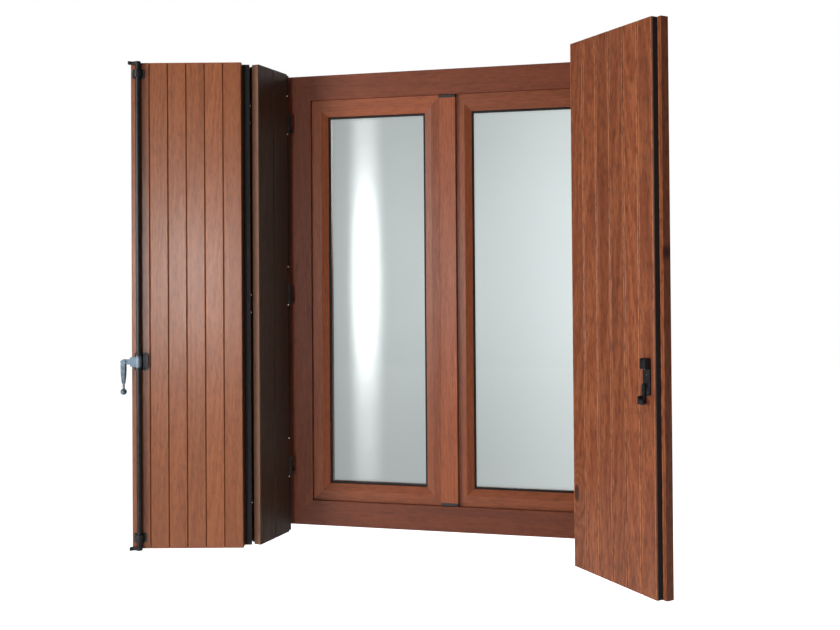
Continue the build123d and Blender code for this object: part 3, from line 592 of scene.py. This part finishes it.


# The frame pine is darker than the sash pine as painted shade, standing in for the dimmer light on the head,
# sill and jambs.
FRAME_WOOD = WoodFinish(
    "frame_pine", pale=srgb(134, 70, 44), body=srgb(112, 54, 32), dark=srgb(72, 33, 20),
    ring_width=0.0040, knots=0.08, contrast=0.7, roughness=0.45, coat=0.03)
SASH_WOOD = WoodFinish(
    "sash_pine", pale=srgb(162, 90, 56), body=srgb(138, 69, 40), dark=srgb(90, 43, 25),
    ring_width=0.0038, knots=0.06, contrast=0.7, roughness=0.40, coat=0.06)
LEFT_WOOD = WoodFinish(
    "left_leaf_pine", pale=srgb(156, 92, 56), body=srgb(136, 75, 43), dark=srgb(96, 50, 29),
    ring_width=0.0042, knots=0.05, contrast=0.5, roughness=0.34, coat=0.28, tint=0.08, groove_shade=0.45,
    arris_highlight=0.12, mottle=0.4)
# The left narrow leaf's wood is far darker than the other leaves: painted shade on its inner face. Past
# edge_start its end face is five times as light, which takes the painted shade off there.
NARROW_WOOD_PAINTED_SHADE = WoodFinish(
    "left_narrow_pine", pale=srgb(76, 52, 38), body=srgb(62, 42, 31), dark=srgb(44, 30, 23),
    ring_width=0.0042, knots=0.05, contrast=0.5, roughness=0.5, coat=0.0, tint=0.08, groove_shade=0.2,
    arris_highlight=0.35, mottle=0.4, edge_start=0.1692, edge_gain=5.0)
# The right leaf's boards get strong painted highlights along the edges beside their grooves.
RIGHT_WOOD = WoodFinish(
    "right_leaf_pine", pale=srgb(160, 92, 58), body=srgb(132, 68, 40), dark=srgb(78, 36, 22),
    ring_width=0.0046, knots=0.24, contrast=0.7, roughness=0.42, coat=0.15, tint=0.10, groove_shade=0.25,
    arris_highlight=0.9, mottle=0.6)
BLACK_STEEL = HardFinish(
    "black_lacquered_steel", colour=srgb(24, 24, 27), worn=srgb(58, 60, 64), metallic=0.35, roughness=0.34,
    wear=0.35)
BLUE_STEEL = HardFinish(
    "blue_grey_steel", colour=srgb(86, 102, 116), worn=srgb(132, 146, 156), metallic=0.55, roughness=0.3,
    wear=0.45, wear_scale=90.0)
SCREW_STEEL = HardFinish(
    "screw_steel", colour=srgb(60, 60, 64), worn=srgb(110, 110, 112), metallic=0.8, roughness=0.35,
    wear=0.4, wear_scale=300.0)
RUBBER = HardFinish(
    "seal_rubber", colour=srgb(20, 19, 19), worn=srgb(44, 42, 41), roughness=0.62, wear=0.3,
    wear_scale=120.0, bump=0.2)
CAP_PLASTIC = HardFinish(
    "cap_plastic", colour=srgb(24, 22, 22), worn=srgb(48, 45, 44), roughness=0.45, wear=0.25,
    wear_scale=120.0, bump=0.15)
SPACER_METAL = HardFinish(
    "spacer_metal", colour=srgb(188, 190, 192), worn=srgb(150, 152, 155), metallic=0.85, roughness=0.38,
    wear=0.3, wear_scale=80.0)
BRONZE = HardFinish(
    "dark_bronze", colour=srgb(78, 62, 50), worn=srgb(116, 94, 74), metallic=0.75, roughness=0.36,
    wear=0.4, wear_scale=90.0)


def dress(names: Iterable[str], material: Material) -> None:
    """Puts a material on CAD nodes.

    Args:
        names: the nodes.
        material: the material for every slot of them.
    """
    for name in names:
        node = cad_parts[name]
        if not node.material_slots:
            node.data.materials.append(material)
        for slot in node.material_slots:
            slot.material = material
        log.info("dressed %s with %s", name, material.name)


def new_piece(name: str, mesh: Mesh, body: str, material: Material) -> Object:
    """Adds a finished mesh to the scene as a piece of the object.

    Args:
        name: the piece's name.
        mesh: its mesh, in world coordinates.
        body: the CAD body that it moves with.
        material: its material.

    Returns:
        The new object.
    """
    if not mesh.materials:
        mesh.materials.append(material)
    piece = bpy.data.objects.new(name, mesh)
    bpy.context.scene.collection.objects.link(piece)
    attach(piece, body)
    log.info("made %s on %s, %d faces", name, body, len(mesh.polygons))
    return piece


def bridge(form: bmesh.types.BMesh, first: Sequence[bmesh.types.BMVert],
           second: Sequence[bmesh.types.BMVert]) -> None:
    """Joins two closed rows of points with faces.

    Args:
        form: the mesh that is built.
        first: one row.
        second: the other row, of as many points.
    """
    for k in range(len(first)):
        n = (k + 1) % len(first)
        form.faces.new((first[k], first[n], second[n], second[k]))


def finished(form: bmesh.types.BMesh, name: str) -> Mesh:
    """Turns the faces outward and writes the mesh.

    Args:
        form: the mesh that was built.
        name: the new mesh's name.

    Returns:
        The mesh.
    """
    bmesh.ops.recalc_face_normals(form, faces=form.faces)
    mesh = bpy.data.meshes.new(name)
    form.to_mesh(mesh)
    form.free()
    return mesh


@dataclass(frozen=True)
class Screw:
    """A screw's place: the centre of its head's underside, the way it faces and its head's radius."""

    place: Vector
    aim: Vector
    radius: float = 0.0035


@dataclass
class ScrewMaker:
    """Sets screw heads with a cross recess on a body's plates."""

    finish: Material
    tree: NodeTree = field(init=False)

    def __post_init__(self) -> None:
        """Builds the node tree once."""
        self.tree = self._tree()

    @staticmethod
    def _head() -> Mesh:
        """Makes a raised countersunk head of radius 1 with a cross recess.

        Returns:
            The head's mesh.
        """
        form = bmesh.new()
        sides = 16
        ring = [(math.cos(k * math.tau / sides), math.sin(k * math.tau / sides)) for k in range(sides)]
        levels = ((1.0, 0.0), (1.0, 0.10), (0.9, 0.24), (0.62, 0.34))
        loops = [[form.verts.new((radius * x, radius * y, height)) for x, y in ring]
                 for radius, height in levels]
        for lower, upper in zip(loops, loops[1:]):
            bridge(form, lower, upper)
        form.faces.new(list(reversed(loops[0])))
        # The cross: every fourth point of its rim reaches out, and its walls slope to a small floor.
        reaches = (0.5, 0.26, 0.2, 0.26)
        rim_height, floor_height, taper = 0.35, 0.14, 0.7
        arms = [form.verts.new((reaches[k % 4] * x, reaches[k % 4] * y, rim_height))
                for k, (x, y) in enumerate(ring)]
        floor = [form.verts.new((taper * v.co.x, taper * v.co.y, floor_height)) for v in arms]
        bridge(form, loops[-1], arms)
        bridge(form, arms, floor)
        form.faces.new(floor)
        return finished(form, "screw_head")

    def _tree(self) -> NodeTree:
        """Builds the tree that sets a head on each point, sized and turned by the point's values.

        Returns:
            The tree.
        """
        tree = bpy.data.node_groups.new("screw_heads", "GeometryNodeTree")
        for label, way, kind in (
            ("Geometry", "INPUT", "Geometry"), ("Head", "INPUT", "Object"), ("Size", "INPUT", "Float"),
            ("Turn Seed", "INPUT", "Int"), ("Finish", "INPUT", "Material"),
            ("Geometry", "OUTPUT", "Geometry"),
        ):
            tree.interface.new_socket(name=label, in_out=way, socket_type=f"NodeSocket{kind}")
        g = Graph(tree)
        given = g.add("NodeGroupInput").outputs
        head = g.add("GeometryNodeObjectInfo", in_Object=given["Head"])
        aim = g.add("GeometryNodeInputNamedAttribute", data_type="FLOAT_VECTOR", in_Name="aim")
        radius = g.add("GeometryNodeInputNamedAttribute", data_type="FLOAT", in_Name="head_radius")
        align = g.add("FunctionNodeAlignRotationToVector", axis="Z", in_Vector=aim.outputs["Attribute"])
        spin = g.add("FunctionNodeRandomValue", data_type="FLOAT", in_Max=math.tau,
                     in_Seed=given["Turn Seed"])
        angle = next(s for s in spin.outputs if s.enabled and s.type == "VALUE")
        twist = g.add("FunctionNodeAxisAngleToRotation", in_Axis=(0.0, 0.0, 1.0), in_Angle=angle)
        turned = g.add("FunctionNodeRotateRotation", rotation_space="LOCAL",
                       in_Rotation=align.outputs["Rotation"], in_Rotate_By=twist.outputs["Rotation"])
        scale = g.times(next(s for s in radius.outputs if s.enabled), given["Size"])
        heads = g.add("GeometryNodeInstanceOnPoints", in_Points=given["Geometry"],
                      in_Instance=head.outputs["Geometry"], in_Rotation=turned.outputs["Rotation"],
                      in_Scale=scale)
        real = g.add("GeometryNodeRealizeInstances", in_Geometry=heads.outputs[0])
        finish = g.add("GeometryNodeSetMaterial", in_Geometry=real.outputs[0], in_Material=given["Finish"])
        g.add("NodeGroupOutput", in_0=finish.outputs[0])
        return tree

    def build(self, name: str, body: str, screws: Sequence[Screw]) -> Object:
        """Makes one mesh of all the screws of a body.

        Args:
            name: the piece's name.
            body: the CAD body that holds the screws.
            screws: their places.

        Returns:
            The new object.
        """
        head = bpy.data.objects.new("screw_head_pattern", self._head())
        bpy.context.scene.collection.objects.link(head)
        points = bpy.data.meshes.new(f"{name}_points")
        points.from_pydata([screw.place for screw in screws], [], [])
        points.attributes.new("aim", "FLOAT_VECTOR", "POINT")
        points.attributes.new("head_radius", "FLOAT", "POINT")
        for index, screw in enumerate(screws):
            points.attributes["aim"].data[index].vector = screw.aim
            points.attributes["head_radius"].data[index].value = screw.radius
        carrier = bpy.data.objects.new(f"{name}_carrier", points)
        bpy.context.scene.collection.objects.link(carrier)
        modifier = carrier.modifiers.new("screws", "NODES")
        modifier.node_group = self.tree
        ids = {item.name: item.identifier
               for item in self.tree.interface.items_tree if item.in_out == "INPUT"}
        for label, value in (("Head", head), ("Size", 1.0), ("Turn Seed", 7), ("Finish", self.finish)):
            modifier[ids[label]] = value
        seen = carrier.evaluated_get(bpy.context.evaluated_depsgraph_get())
        mesh = bpy.data.meshes.new_from_object(seen)
        bpy.data.objects.remove(carrier)
        bpy.data.objects.remove(head)
        for polygon in mesh.polygons:
            polygon.use_smooth = False
        return new_piece(name, mesh, body, self.finish)


@dataclass
class Kit:
    """What the sub-assemblies share: the materials and the maker of screws."""

    steel: Material = field(default_factory=BLACK_STEEL.build)
    blue: Material = field(default_factory=BLUE_STEEL.build)
    screws: ScrewMaker = field(default_factory=lambda: ScrewMaker(SCREW_STEEL.build()))
    rubber: Material = field(default_factory=RUBBER.build)
    plastic: Material = field(default_factory=CAP_PLASTIC.build)
    spacer: Material = field(default_factory=SPACER_METAL.build)
    bronze: Material = field(default_factory=BRONZE.build)
    glass: Material = field(default_factory=GlassFinish().build)


@dataclass
class Assembly:
    """A part of the window that is dressed from the shared kit."""

    kit: Kit

    def rubber_strip(self, name: str, mesh: Mesh, body: str) -> Object:
        """Adds a rubber piece."""
        return new_piece(name, mesh, body, self.kit.rubber)


def ring_mesh(name: str, section: Sequence[Point], box: tuple[float, float, float, float]) -> Mesh:
    """Sweeps a small section round an upright rectangle, with mitred corners.

    Args:
        name: the mesh's name.
        section: (inward, y) points of the section, in metres.
        box: the rectangle's left, right, bottom and top.

    Returns:
        The closed mesh.
    """
    left, right, low, high = box
    form = bmesh.new()
    loops = []
    for sx, sz in ((0, 0), (1, 0), (1, 1), (0, 1)):
        corner = [(right - inward if sx else left + inward, y, high - inward if sz else low + inward)
                  for inward, y in section]
        loops.append([form.verts.new(point) for point in corner])
    for k in range(4):
        bridge(form, loops[k], loops[(k + 1) % 4])
    return finished(form, name)


@dataclass
class WindowFrame(Assembly):
    """The head, sill and jambs, their pintles and the seal that the sashes close on."""

    half_width: float = 0.508
    height: float = 1.4
    front: float = -0.035
    stop_face: float = 0.077
    stop_depth: float = 0.010
    seal_width: float = 0.006
    seal_depth: float = 0.0016
    seal_inset: float = 0.0004
    seed: int = 3

    def build(self) -> None:
        """Dresses the frame and adds its seal."""
        for seed, (part, grain) in enumerate((
            ("head", Grain.LEVEL), ("sill", Grain.LEVEL),
            ("left_jamb", Grain.UPRIGHT), ("right_jamb", Grain.UPRIGHT),
        ), self.seed):
            FRAME_WOOD.plain(f"frame_{part}", grain, seed)
        dress(["shutter_pintles"], self.kit.steel)
        dress(["sash_hinge_pins"], self.kit.bronze)
        self._seal()

    def _seal(self) -> None:
        """Lays the seal on the back of the stop, all round."""
        start = self.front + self.stop_depth
        end = start + self.seal_depth
        outer, inner = self.stop_face - self.seal_width, self.stop_face - self.seal_inset
        section = ((outer, start), (inner, start), (inner, end), (outer, end))
        mesh = ring_mesh("frame_seal", section, (-self.half_width, self.half_width, 0.0, self.height))
        self.rubber_strip("frame_seal", mesh, "frame")


@dataclass
class Sash(Assembly):
    """One glazed sash with its glass, beads, gasket and hinges."""

    side: Side
    seed: int
    meeting: float = 0.008
    hinge: float = 0.444
    low: float = 0.064
    high: float = 1.336
    gasket_start: float = 0.056
    gasket_end: float = 0.070
    lip_edge: float = 0.0645
    back: float = -0.006
    thickness: float = 0.002
    fin_rise: float = 0.0032
    fin_steps: int = 6

    def _gasket(self) -> None:
        """Lays the glazing gasket, whose rounded fin shows inside the lip, in place of the plain one."""
        front = self.back - self.thickness
        middle = (self.lip_edge + self.gasket_end) / 2
        reach = (self.gasket_end - self.lip_edge) / 2
        turns = [k * math.pi / self.fin_steps for k in range(self.fin_steps + 1)]
        bow = [(middle - reach * math.cos(turn), front - self.fin_rise * math.sin(turn)) for turn in turns]
        section = [(self.gasket_start, self.back), (self.gasket_start, front), *bow,
                   (self.gasket_end, self.back)]
        left, right = (-self.hinge, -self.meeting) if self.side is Side.LEFT else (self.meeting, self.hinge)
        name = f"{self.side.value}_glazing_gasket"
        mesh = ring_mesh(f"{name}_finned", section, (left, right, self.low, self.high))
        piece = self.rubber_strip(f"{name}_finned", mesh, f"{self.side.value}_sash")
        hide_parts(name)

    def build(self) -> None:
        """Dresses every piece of the sash."""
        name = self.side.value
        for seed, (part, grain) in enumerate((
            ("sash_top_rail", Grain.LEVEL), ("sash_bottom_rail", Grain.LEVEL),
            ("sash_hinge_stile", Grain.UPRIGHT), ("sash_meeting_stile", Grain.UPRIGHT),
            ("glazing_beads", Grain.UPRIGHT),
        ), self.seed):
            SASH_WOOD.plain(f"{name}_{part}", grain, seed)
        dress([f"{name}_panes"], self.kit.glass)
        self._gasket()
        dress([f"{name}_spacer"], self.kit.spacer)
        dress([f"{name}_sash_hinges"], self.kit.bronze)


@dataclass
class Astragals(Assembly):
    """The cover strips over the joint of the two sashes, and the window handle beside it."""

    seed: int = 40

    def build(self) -> None:
        """Dresses the strips, their caps and the handle."""
        for seed, part in enumerate(("outer", "inner"), self.seed):
            SASH_WOOD.plain(f"{part}_astragal", Grain.UPRIGHT, seed)
        dress(["astragal_caps"], self.kit.plastic)
        dress(["window_handle_rose", "window_handle"], self.kit.bronze)


@dataclass
class LeafPair(Assembly):
    """One side's narrow and wide leaf, with their straps, seals and screws.

    Plans are points across and through a leaf in its own frame. Heights are over the sill's underside.
    """

    side: Side
    narrow_open: float
    wide_open: float
    narrow_finish: WoodFinish
    wide_finish: WoodFinish
    wide_pitch: float
    seed: int
    hinge: Point = (-0.495, -0.066)
    fold: Point = (0.172, -0.044)
    narrow_start: float = 0.010
    narrow_pitch: float = 0.080
    wide_start: float = 0.002
    pintle_heights: Floats = (0.170, 0.700, 1.230)
    fold_heights: Floats = (0.130, 0.694, 1.258)
    bottom: float = -0.010
    top: float = 1.398
    fin_plan: tuple[Point, ...] = (
        (0.010, -0.0025), (0.010, 0.0010), (-0.001, 0.0008), (-0.005, -0.0004), (-0.001, -0.0012))
    cover_plan: tuple[Point, ...] = (
        (0.140, -0.0360), (0.152, -0.0360), (0.152, -0.0363), (0.162, -0.0363), (0.1615, -0.0378),
        (0.141, -0.0378))
    lip_plan: tuple[Point, ...] = (
        (-0.017, 0.017), (0.002, 0.017), (0.002, 0.0184), (-0.0015, 0.0184), (-0.00275, 0.0208),
        (-0.00525, 0.0208), (-0.0065, 0.0184), (-0.017, 0.0184))
    # How far the strips stay clear of a strap, down and up from its height.
    pintle_clear: Point = (0.016, 0.106)
    fold_clear: Point = (0.0265, 0.0265)
    # Screws: their plate's place, then how far along and up each one sits.
    edge_plate: Point = (0.007, -0.010)
    edge_rises: Floats = (0.058, 0.075, 0.092)
    narrow_strap: float = -0.040
    narrow_alongs: Floats = (0.088, 0.112, 0.136)
    narrow_rises: Floats = (-0.014, 0.014)
    wide_strap: float = 0.004
    wide_alongs: Floats = (0.028, 0.055, 0.082)
    narrow: Placement = field(init=False)
    wide: Placement = field(init=False)

    def __post_init__(self) -> None:
        """Works out the two leaves' frames at rest."""
        self.narrow = Placement(*self.hinge, self.narrow_open, self.side is Side.RIGHT)
        self.wide = self.narrow.step(*self.fold, self.wide_open)

    def build(self) -> None:
        """Dresses both leaves, adds their strips and sets their screws."""
        name = self.side.value
        narrow_wood = self.narrow_finish.build(
            self.narrow, Grain.UPRIGHT, self.narrow_start, self.narrow_pitch, self.seed)
        wide_wood = self.wide_finish.build(
            self.wide, Grain.UPRIGHT, self.wide_start, self.wide_pitch, self.seed + 1)
        dress([f"{name}_narrow_board_{k}" for k in (1, 2)], narrow_wood)
        dress([f"{name}_wide_board_{k}" for k in range(1, 7)], wide_wood)
        dress([f"{name}_{part}_straps" for part in ("narrow_hinge", "narrow_fold", "wide_fold")],
              self.kit.steel)
        dress([f"{name}_narrow_fold_seal"], self.kit.rubber)
        self._seals()
        self.kit.screws.build(f"{name}_narrow_screws", f"{name}_narrow", self.narrow_screws())
        self.kit.screws.build(f"{name}_wide_screws", f"{name}_wide", self.wide_screws())

    def _seals(self) -> None:
        """Adds the thin rubber strips: two on the narrow leaf and one on the wide leaf's fold lip."""
        name = self.side.value
        hinge_clear, fold_clear = (
            [(height - down, height + up) for height in heights]
            for heights, (down, up) in ((self.pintle_heights, self.pintle_clear),
                                        (self.fold_heights, self.fold_clear)))
        # These black rubber strips are partly seals and partly a dark stand-in for shade: they fill the gaps
        # at the narrow leaf's hinge edge and fold end, and blacken the wide leaf's fold lip, where shade
        # falls.
        self._strips(f"{name}_narrow_strips", f"{name}_narrow", self.narrow,
                     ((self.fin_plan, hinge_clear), (self.cover_plan, fold_clear)))
        self._strips(f"{name}_lip_seal", f"{name}_wide", self.wide, ((self.lip_plan, []),))

    def _strips(self, label: str, body: str, place: Placement,
                plans: Sequence[tuple[Sequence[Point], list[Point]]]) -> None:
        """Raises strips over the leaf's height, leaving out the stretches at the hinges.

        Args:
            label: the piece's name.
            body: the body it rides.
            place: the leaf's own frame.
            plans: each strip's plan in that frame, and the stretches of height that it leaves out.
        """
        form = bmesh.new()
        for plan, clear in plans:
            ends = [self.bottom, *(z for pair in clear for z in pair), self.top]
            for low, high in zip(ends[0::2], ends[1::2]):
                rows = [[form.verts.new(place.world(u, v, z)) for u, v in plan] for z in (low, high)]
                bridge(form, *rows)
                form.faces.new(rows[0])
                form.faces.new(rows[1])
        self.rubber_strip(label, finished(form, label), body)

    def narrow_screws(self) -> list[Screw]:
        """Lists the screws in the narrow leaf's edge plates and outer straps.

        Returns:
            The screws.
        """
        found = [
            Screw(self.narrow.world(*self.edge_plate, height + rise), self.narrow.aim(-1, 0))
            for height in self.pintle_heights for rise in self.edge_rises
        ]
        return found + [
            Screw(self.narrow.world(along, self.narrow_strap, height + rise), self.narrow.aim(0, -1))
            for height in self.fold_heights for along in self.narrow_alongs for rise in self.narrow_rises
        ]

    def wide_screws(self) -> list[Screw]:
        """Lists the screws in the wide leaf's straps.

        Returns:
            The screws.
        """
        return [
            Screw(self.wide.world(along, self.wide_strap, height), self.wide.aim(0, -1))
            for height in self.fold_heights for along in self.wide_alongs
        ]


@dataclass
class Espagnolette(Assembly):
    """The rod on the left wide leaf with its guides, hub and lever."""

    leaf: LeafPair
    rod: float = 0.3015
    face: float = 0.048
    plate: float = 0.003
    guide_heights: Floats = (0.020, 1.367)
    shifts: Floats = (-0.0150, 0.0150)
    rises: Floats = (-0.008, 0.008)
    head_radius: float = 0.0022

    def build(self) -> None:
        """Dresses the fittings and screws the guides down."""
        dress(["espagnolette_rod", "rod_guides"], self.kit.steel)
        dress(["handle_hub", "handle_lever"], self.kit.blue)
        leaf = self.leaf.wide
        self.kit.screws.build("guide_screws", "left_wide", [
            Screw(leaf.world(self.rod + shift, self.face + self.plate, height + rise), leaf.aim(0, 1),
                  self.head_radius)
            for height in self.guide_heights for shift in self.shifts for rise in self.rises
        ])


@dataclass
class Keeper(Assembly):
    """The keeper plate on the right wide leaf and its hooked catch."""

    leaf: LeafPair
    centre: float = 0.292
    face: float = 0.0513
    screw_places: tuple[Point, ...] = ((0.0, 0.530), (0.004, 0.486))
    head_radius: float = 0.003

    def build(self) -> None:
        """Dresses the keeper and the seal beside it, and screws the plate down."""
        dress(["keeper_plate", "keeper_catch"], self.kit.steel)
        dress(["right_wide_meeting_seal"], self.kit.rubber)
        leaf = self.leaf.wide
        self.kit.screws.build("keeper_screws", "right_wide", [
            Screw(leaf.world(self.centre + shift, self.face, height), leaf.aim(0, 1), self.head_radius)
            for shift, height in self.screw_places
        ])


@dataclass(frozen=True)
class Lamp:
    """A soft rectangular lamp: its centre, the point it faces, its size, power and spread in degrees."""

    name: str
    place: Place
    target: Place
    width: float
    height: float
    power: float
    spread: float = 180.0

    def hang(self) -> Object:
        """Adds the lamp to the scene.

        Returns:
            The lamp.
        """
        data = bpy.data.lights.new(self.name, "AREA")
        data.spread = math.radians(self.spread)
        data.shape = "RECTANGLE"
        data.size, data.size_y = self.width, self.height
        data.energy = self.power
        lamp = bpy.data.objects.new(self.name, data)
        turn = (Vector(self.target) - Vector(self.place)).to_track_quat("-Z", "Y")
        lamp.matrix_world = Matrix.Translation(self.place) @ turn.to_matrix().to_4x4()
        bpy.context.scene.collection.objects.link(lamp)
        return lamp


KEY = Lamp("key", (-2.9, -3.0, 0.95), (0.2, -0.2, 0.6), width=1.4, height=1.4, power=118.0)
FRONT = Lamp("front_soft", (-0.696, -4.4, 0.75), (-0.45, 0.0, 0.7), width=0.27, height=0.9, power=34.0)
TOP = Lamp("top_soft", (0.2, -1.2, 3.6), (0.0, 0.0, 0.6), width=2.2, height=1.4, power=4.0)
BACK = Lamp("back_soft", (0.6, 4.0, 2.0), (0.0, 0.0, 0.7), width=2.4, height=2.0, power=70.0)
STRIP = Lamp("strip", (-1.315, -4.2, 0.83), (-0.280, 0.0, 0.83), width=0.30, height=3.4, power=0.95,
             spread=32.0)


@dataclass
class Studio:
    """The floor, the light and the camera.

    The camera's focal length, centre and image are in pixels, its angles in degrees and its sensor in
    millimetres. fill is the even light all round.
    """

    floor_height: float = -0.9
    focal_px: float = 945.07
    eye: Place = (0.45264, -2.86115, 0.77928)
    yaw: float = -12.6
    pitch: float = 0.66
    roll: float = -0.40
    centre: Point = (390.32, 263.1)
    image: tuple[int, int] = (840, 630)
    sensor: float = 36.0
    near: float = 0.05
    fill: float = 0.12
    floor_reach: float = 14.0
    floor_grey: float = 0.86
    floor_rough: float = 0.85
    floor_glow: float = 0.93
    floor_mirrored: float = 0.3
    room_colour: Colour = (0.955, 0.995, 1.0)
    # Each fall-off is a start, an end and the levels there: of the room behind the glass, by the
    # direction seen, then of the strip lamp, by height and by x.
    room_left: Floats = (-0.32, -0.20, 0.44, 0.64)
    room_right: Floats = (-0.18, 0.02, 0.0, 0.30)
    room_rise: Floats = (0.02, 0.26, 1.0, 0.76)
    room_drop: Floats = (-0.26, 0.0, 0.72, 1.0)
    strip_low: Floats = (-0.36, 0.59, 0.4, 1.0)
    strip_high: Floats = (0.89, 1.84, 1.0, 0.4)
    strip_left: Floats = (-1.46, -1.35, 0.0, 1.0)
    strip_right: Floats = (-1.31, -1.17, 1.0, 0.0)

    def build(self) -> None:
        """Makes the camera, the floor, the world and the lamps."""
        self._camera()
        self._floor()
        self._world()
        for lamp in (KEY, FRONT, TOP):
            lamp.hang()
        back = BACK.hang()
        back.visible_transmission = False
        back.visible_camera = False
        self._strip()
        bpy.context.scene.view_settings.view_transform = "Standard"

    def _camera(self) -> None:
        """Sets the camera at the photograph's viewing angle."""
        yaw, pitch, roll = (math.radians(v) for v in (self.yaw, self.pitch, self.roll))
        ahead = Vector((math.sin(yaw) * math.cos(pitch), math.cos(yaw) * math.cos(pitch), math.sin(pitch)))
        right = Vector((math.cos(yaw), -math.sin(yaw), 0.0))
        up = right.cross(ahead)
        turned_right = right * math.cos(roll) + up * math.sin(roll)
        turned_up = up * math.cos(roll) - right * math.sin(roll)
        data = bpy.data.cameras.new("camera")
        data.sensor_width = self.sensor
        data.lens = self.focal_px / self.image[0] * data.sensor_width
        data.shift_x = (self.image[0] / 2 - self.centre[0]) / self.image[0]
        data.shift_y = (self.centre[1] - self.image[1] / 2) / self.image[0]
        data.clip_start = self.near
        camera = bpy.data.objects.new("camera", data)
        matrix = Matrix((turned_right, turned_up, -ahead)).transposed().to_4x4()
        matrix.translation = Vector(self.eye)
        camera.matrix_world = matrix
        bpy.context.scene.collection.objects.link(camera)
        bpy.context.scene.camera = camera

    def _floor(self) -> None:
        """Lays a wide pale floor well under the window, as under one set in a wall."""
        mesh = bpy.data.meshes.new("floor")
        far = self.floor_reach
        corners = ((-far, -far), (far, -far), (far, far), (-far, far))
        mesh.from_pydata([(x, y, self.floor_height) for x, y in corners], [], [(0, 1, 2, 3)])
        material, g = new_material("pale_floor")
        shader = g.add("ShaderNodeBsdfPrincipled", in_Base_Color=(self.floor_grey,) * 3,
                       in_Roughness=self.floor_rough)
        seen = g.add("ShaderNodeLightPath").outputs
        direct = g.math("MAXIMUM", seen["Is Camera Ray"], g.times(seen["Is Glossy Ray"], self.floor_mirrored))
        glow = g.add("ShaderNodeEmission", in_0=(1.0, 1.0, 1.0), in_1=g.times(direct, self.floor_glow))
        both = g.add("ShaderNodeAddShader", in_0=shader.outputs[0], in_1=glow.outputs[0])
        clear = g.add("ShaderNodeBsdfTransparent")
        choice = g.add("ShaderNodeMixShader", in_0=seen["Is Transmission Ray"], in_1=both.outputs[0],
                       in_2=clear.outputs[0])
        g.add("ShaderNodeOutputMaterial", in_0=choice.outputs[0])
        mesh.materials.append(material)
        floor = bpy.data.objects.new("floor", mesh)
        bpy.context.scene.collection.objects.link(floor)

    def _world(self) -> None:
        """Sets a white surround, an even fill light and the pale grey room seen through the glass."""
        world = bpy.data.worlds.new("studio")
        world.use_nodes = True
        g = Graph(world.node_tree)
        seen = g.add("ShaderNodeLightPath").outputs
        way = g.add("ShaderNodeSeparateXYZ", in_0=g.add("ShaderNodeTexCoord").outputs["Generated"]).outputs
        level = g.math("ADD", g.span(way[0], *self.room_left), g.span(way[0], *self.room_right))
        room = g.times(level, g.times(g.span(way[2], *self.room_rise), g.span(way[2], *self.room_drop)))
        through = seen["Is Transmission Ray"]
        strength = g.math("MULTIPLY_ADD", seen["Is Camera Ray"], 1.0 - self.fill, self.fill)
        colour = g.blend(through, (1.0, 1.0, 1.0), self.room_colour)
        level_seen = g.math("ADD", g.times(through, room),
                            g.times(g.math("SUBTRACT", 1.0, through), strength))
        sky = g.add("ShaderNodeBackground", in_0=colour, in_1=level_seen)
        g.add("ShaderNodeOutputWorld", in_0=sky.outputs[0])
        bpy.context.scene.world = world

    def _strip(self) -> None:
        """Stands a tall narrow lamp, weaker towards its ends, whose reflection crosses the left pane."""
        lamp = STRIP.hang()
        lamp.data.use_nodes = True
        g = Graph(lamp.data.node_tree)
        place = g.add("ShaderNodeSeparateXYZ",
                      in_0=g.add("ShaderNodeNewGeometry").outputs["Position"]).outputs
        fall = g.times(g.span(place[2], *self.strip_low), g.span(place[2], *self.strip_high))
        edge = g.times(g.span(place[0], *self.strip_left), g.span(place[0], *self.strip_right))
        glow = g.add("ShaderNodeEmission", in_1=g.times(fall, edge))
        g.add("ShaderNodeOutputLight", in_0=glow.outputs[0])


def main() -> None:
    """Builds the looks in order."""
    pine_group()
    dust_group()
    kit = Kit()
    Studio().build()
    WindowFrame(kit).build()
    for side, seed in ((Side.LEFT, 10), (Side.RIGHT, 20)):
        Sash(kit, side, seed).build()
    Astragals(kit).build()
    # The left narrow leaf takes the darker wood, whose colour is painted shade.
    left = LeafPair(kit, Side.LEFT, narrow_open=103.0, wide_open=64.5, narrow_finish=NARROW_WOOD_PAINTED_SHADE,
                    wide_finish=LEFT_WOOD, wide_pitch=0.05375, seed=50)
    right = LeafPair(kit, Side.RIGHT, narrow_open=46.5, wide_open=83.5, narrow_finish=RIGHT_WOOD,
                     wide_finish=RIGHT_WOOD, wide_pitch=0.052583, seed=60)
    for pair in (left, right):
        pair.build()
    Espagnolette(kit, left).build()
    Keeper(kit, right).build()


if __name__ == "__main__":
    main()
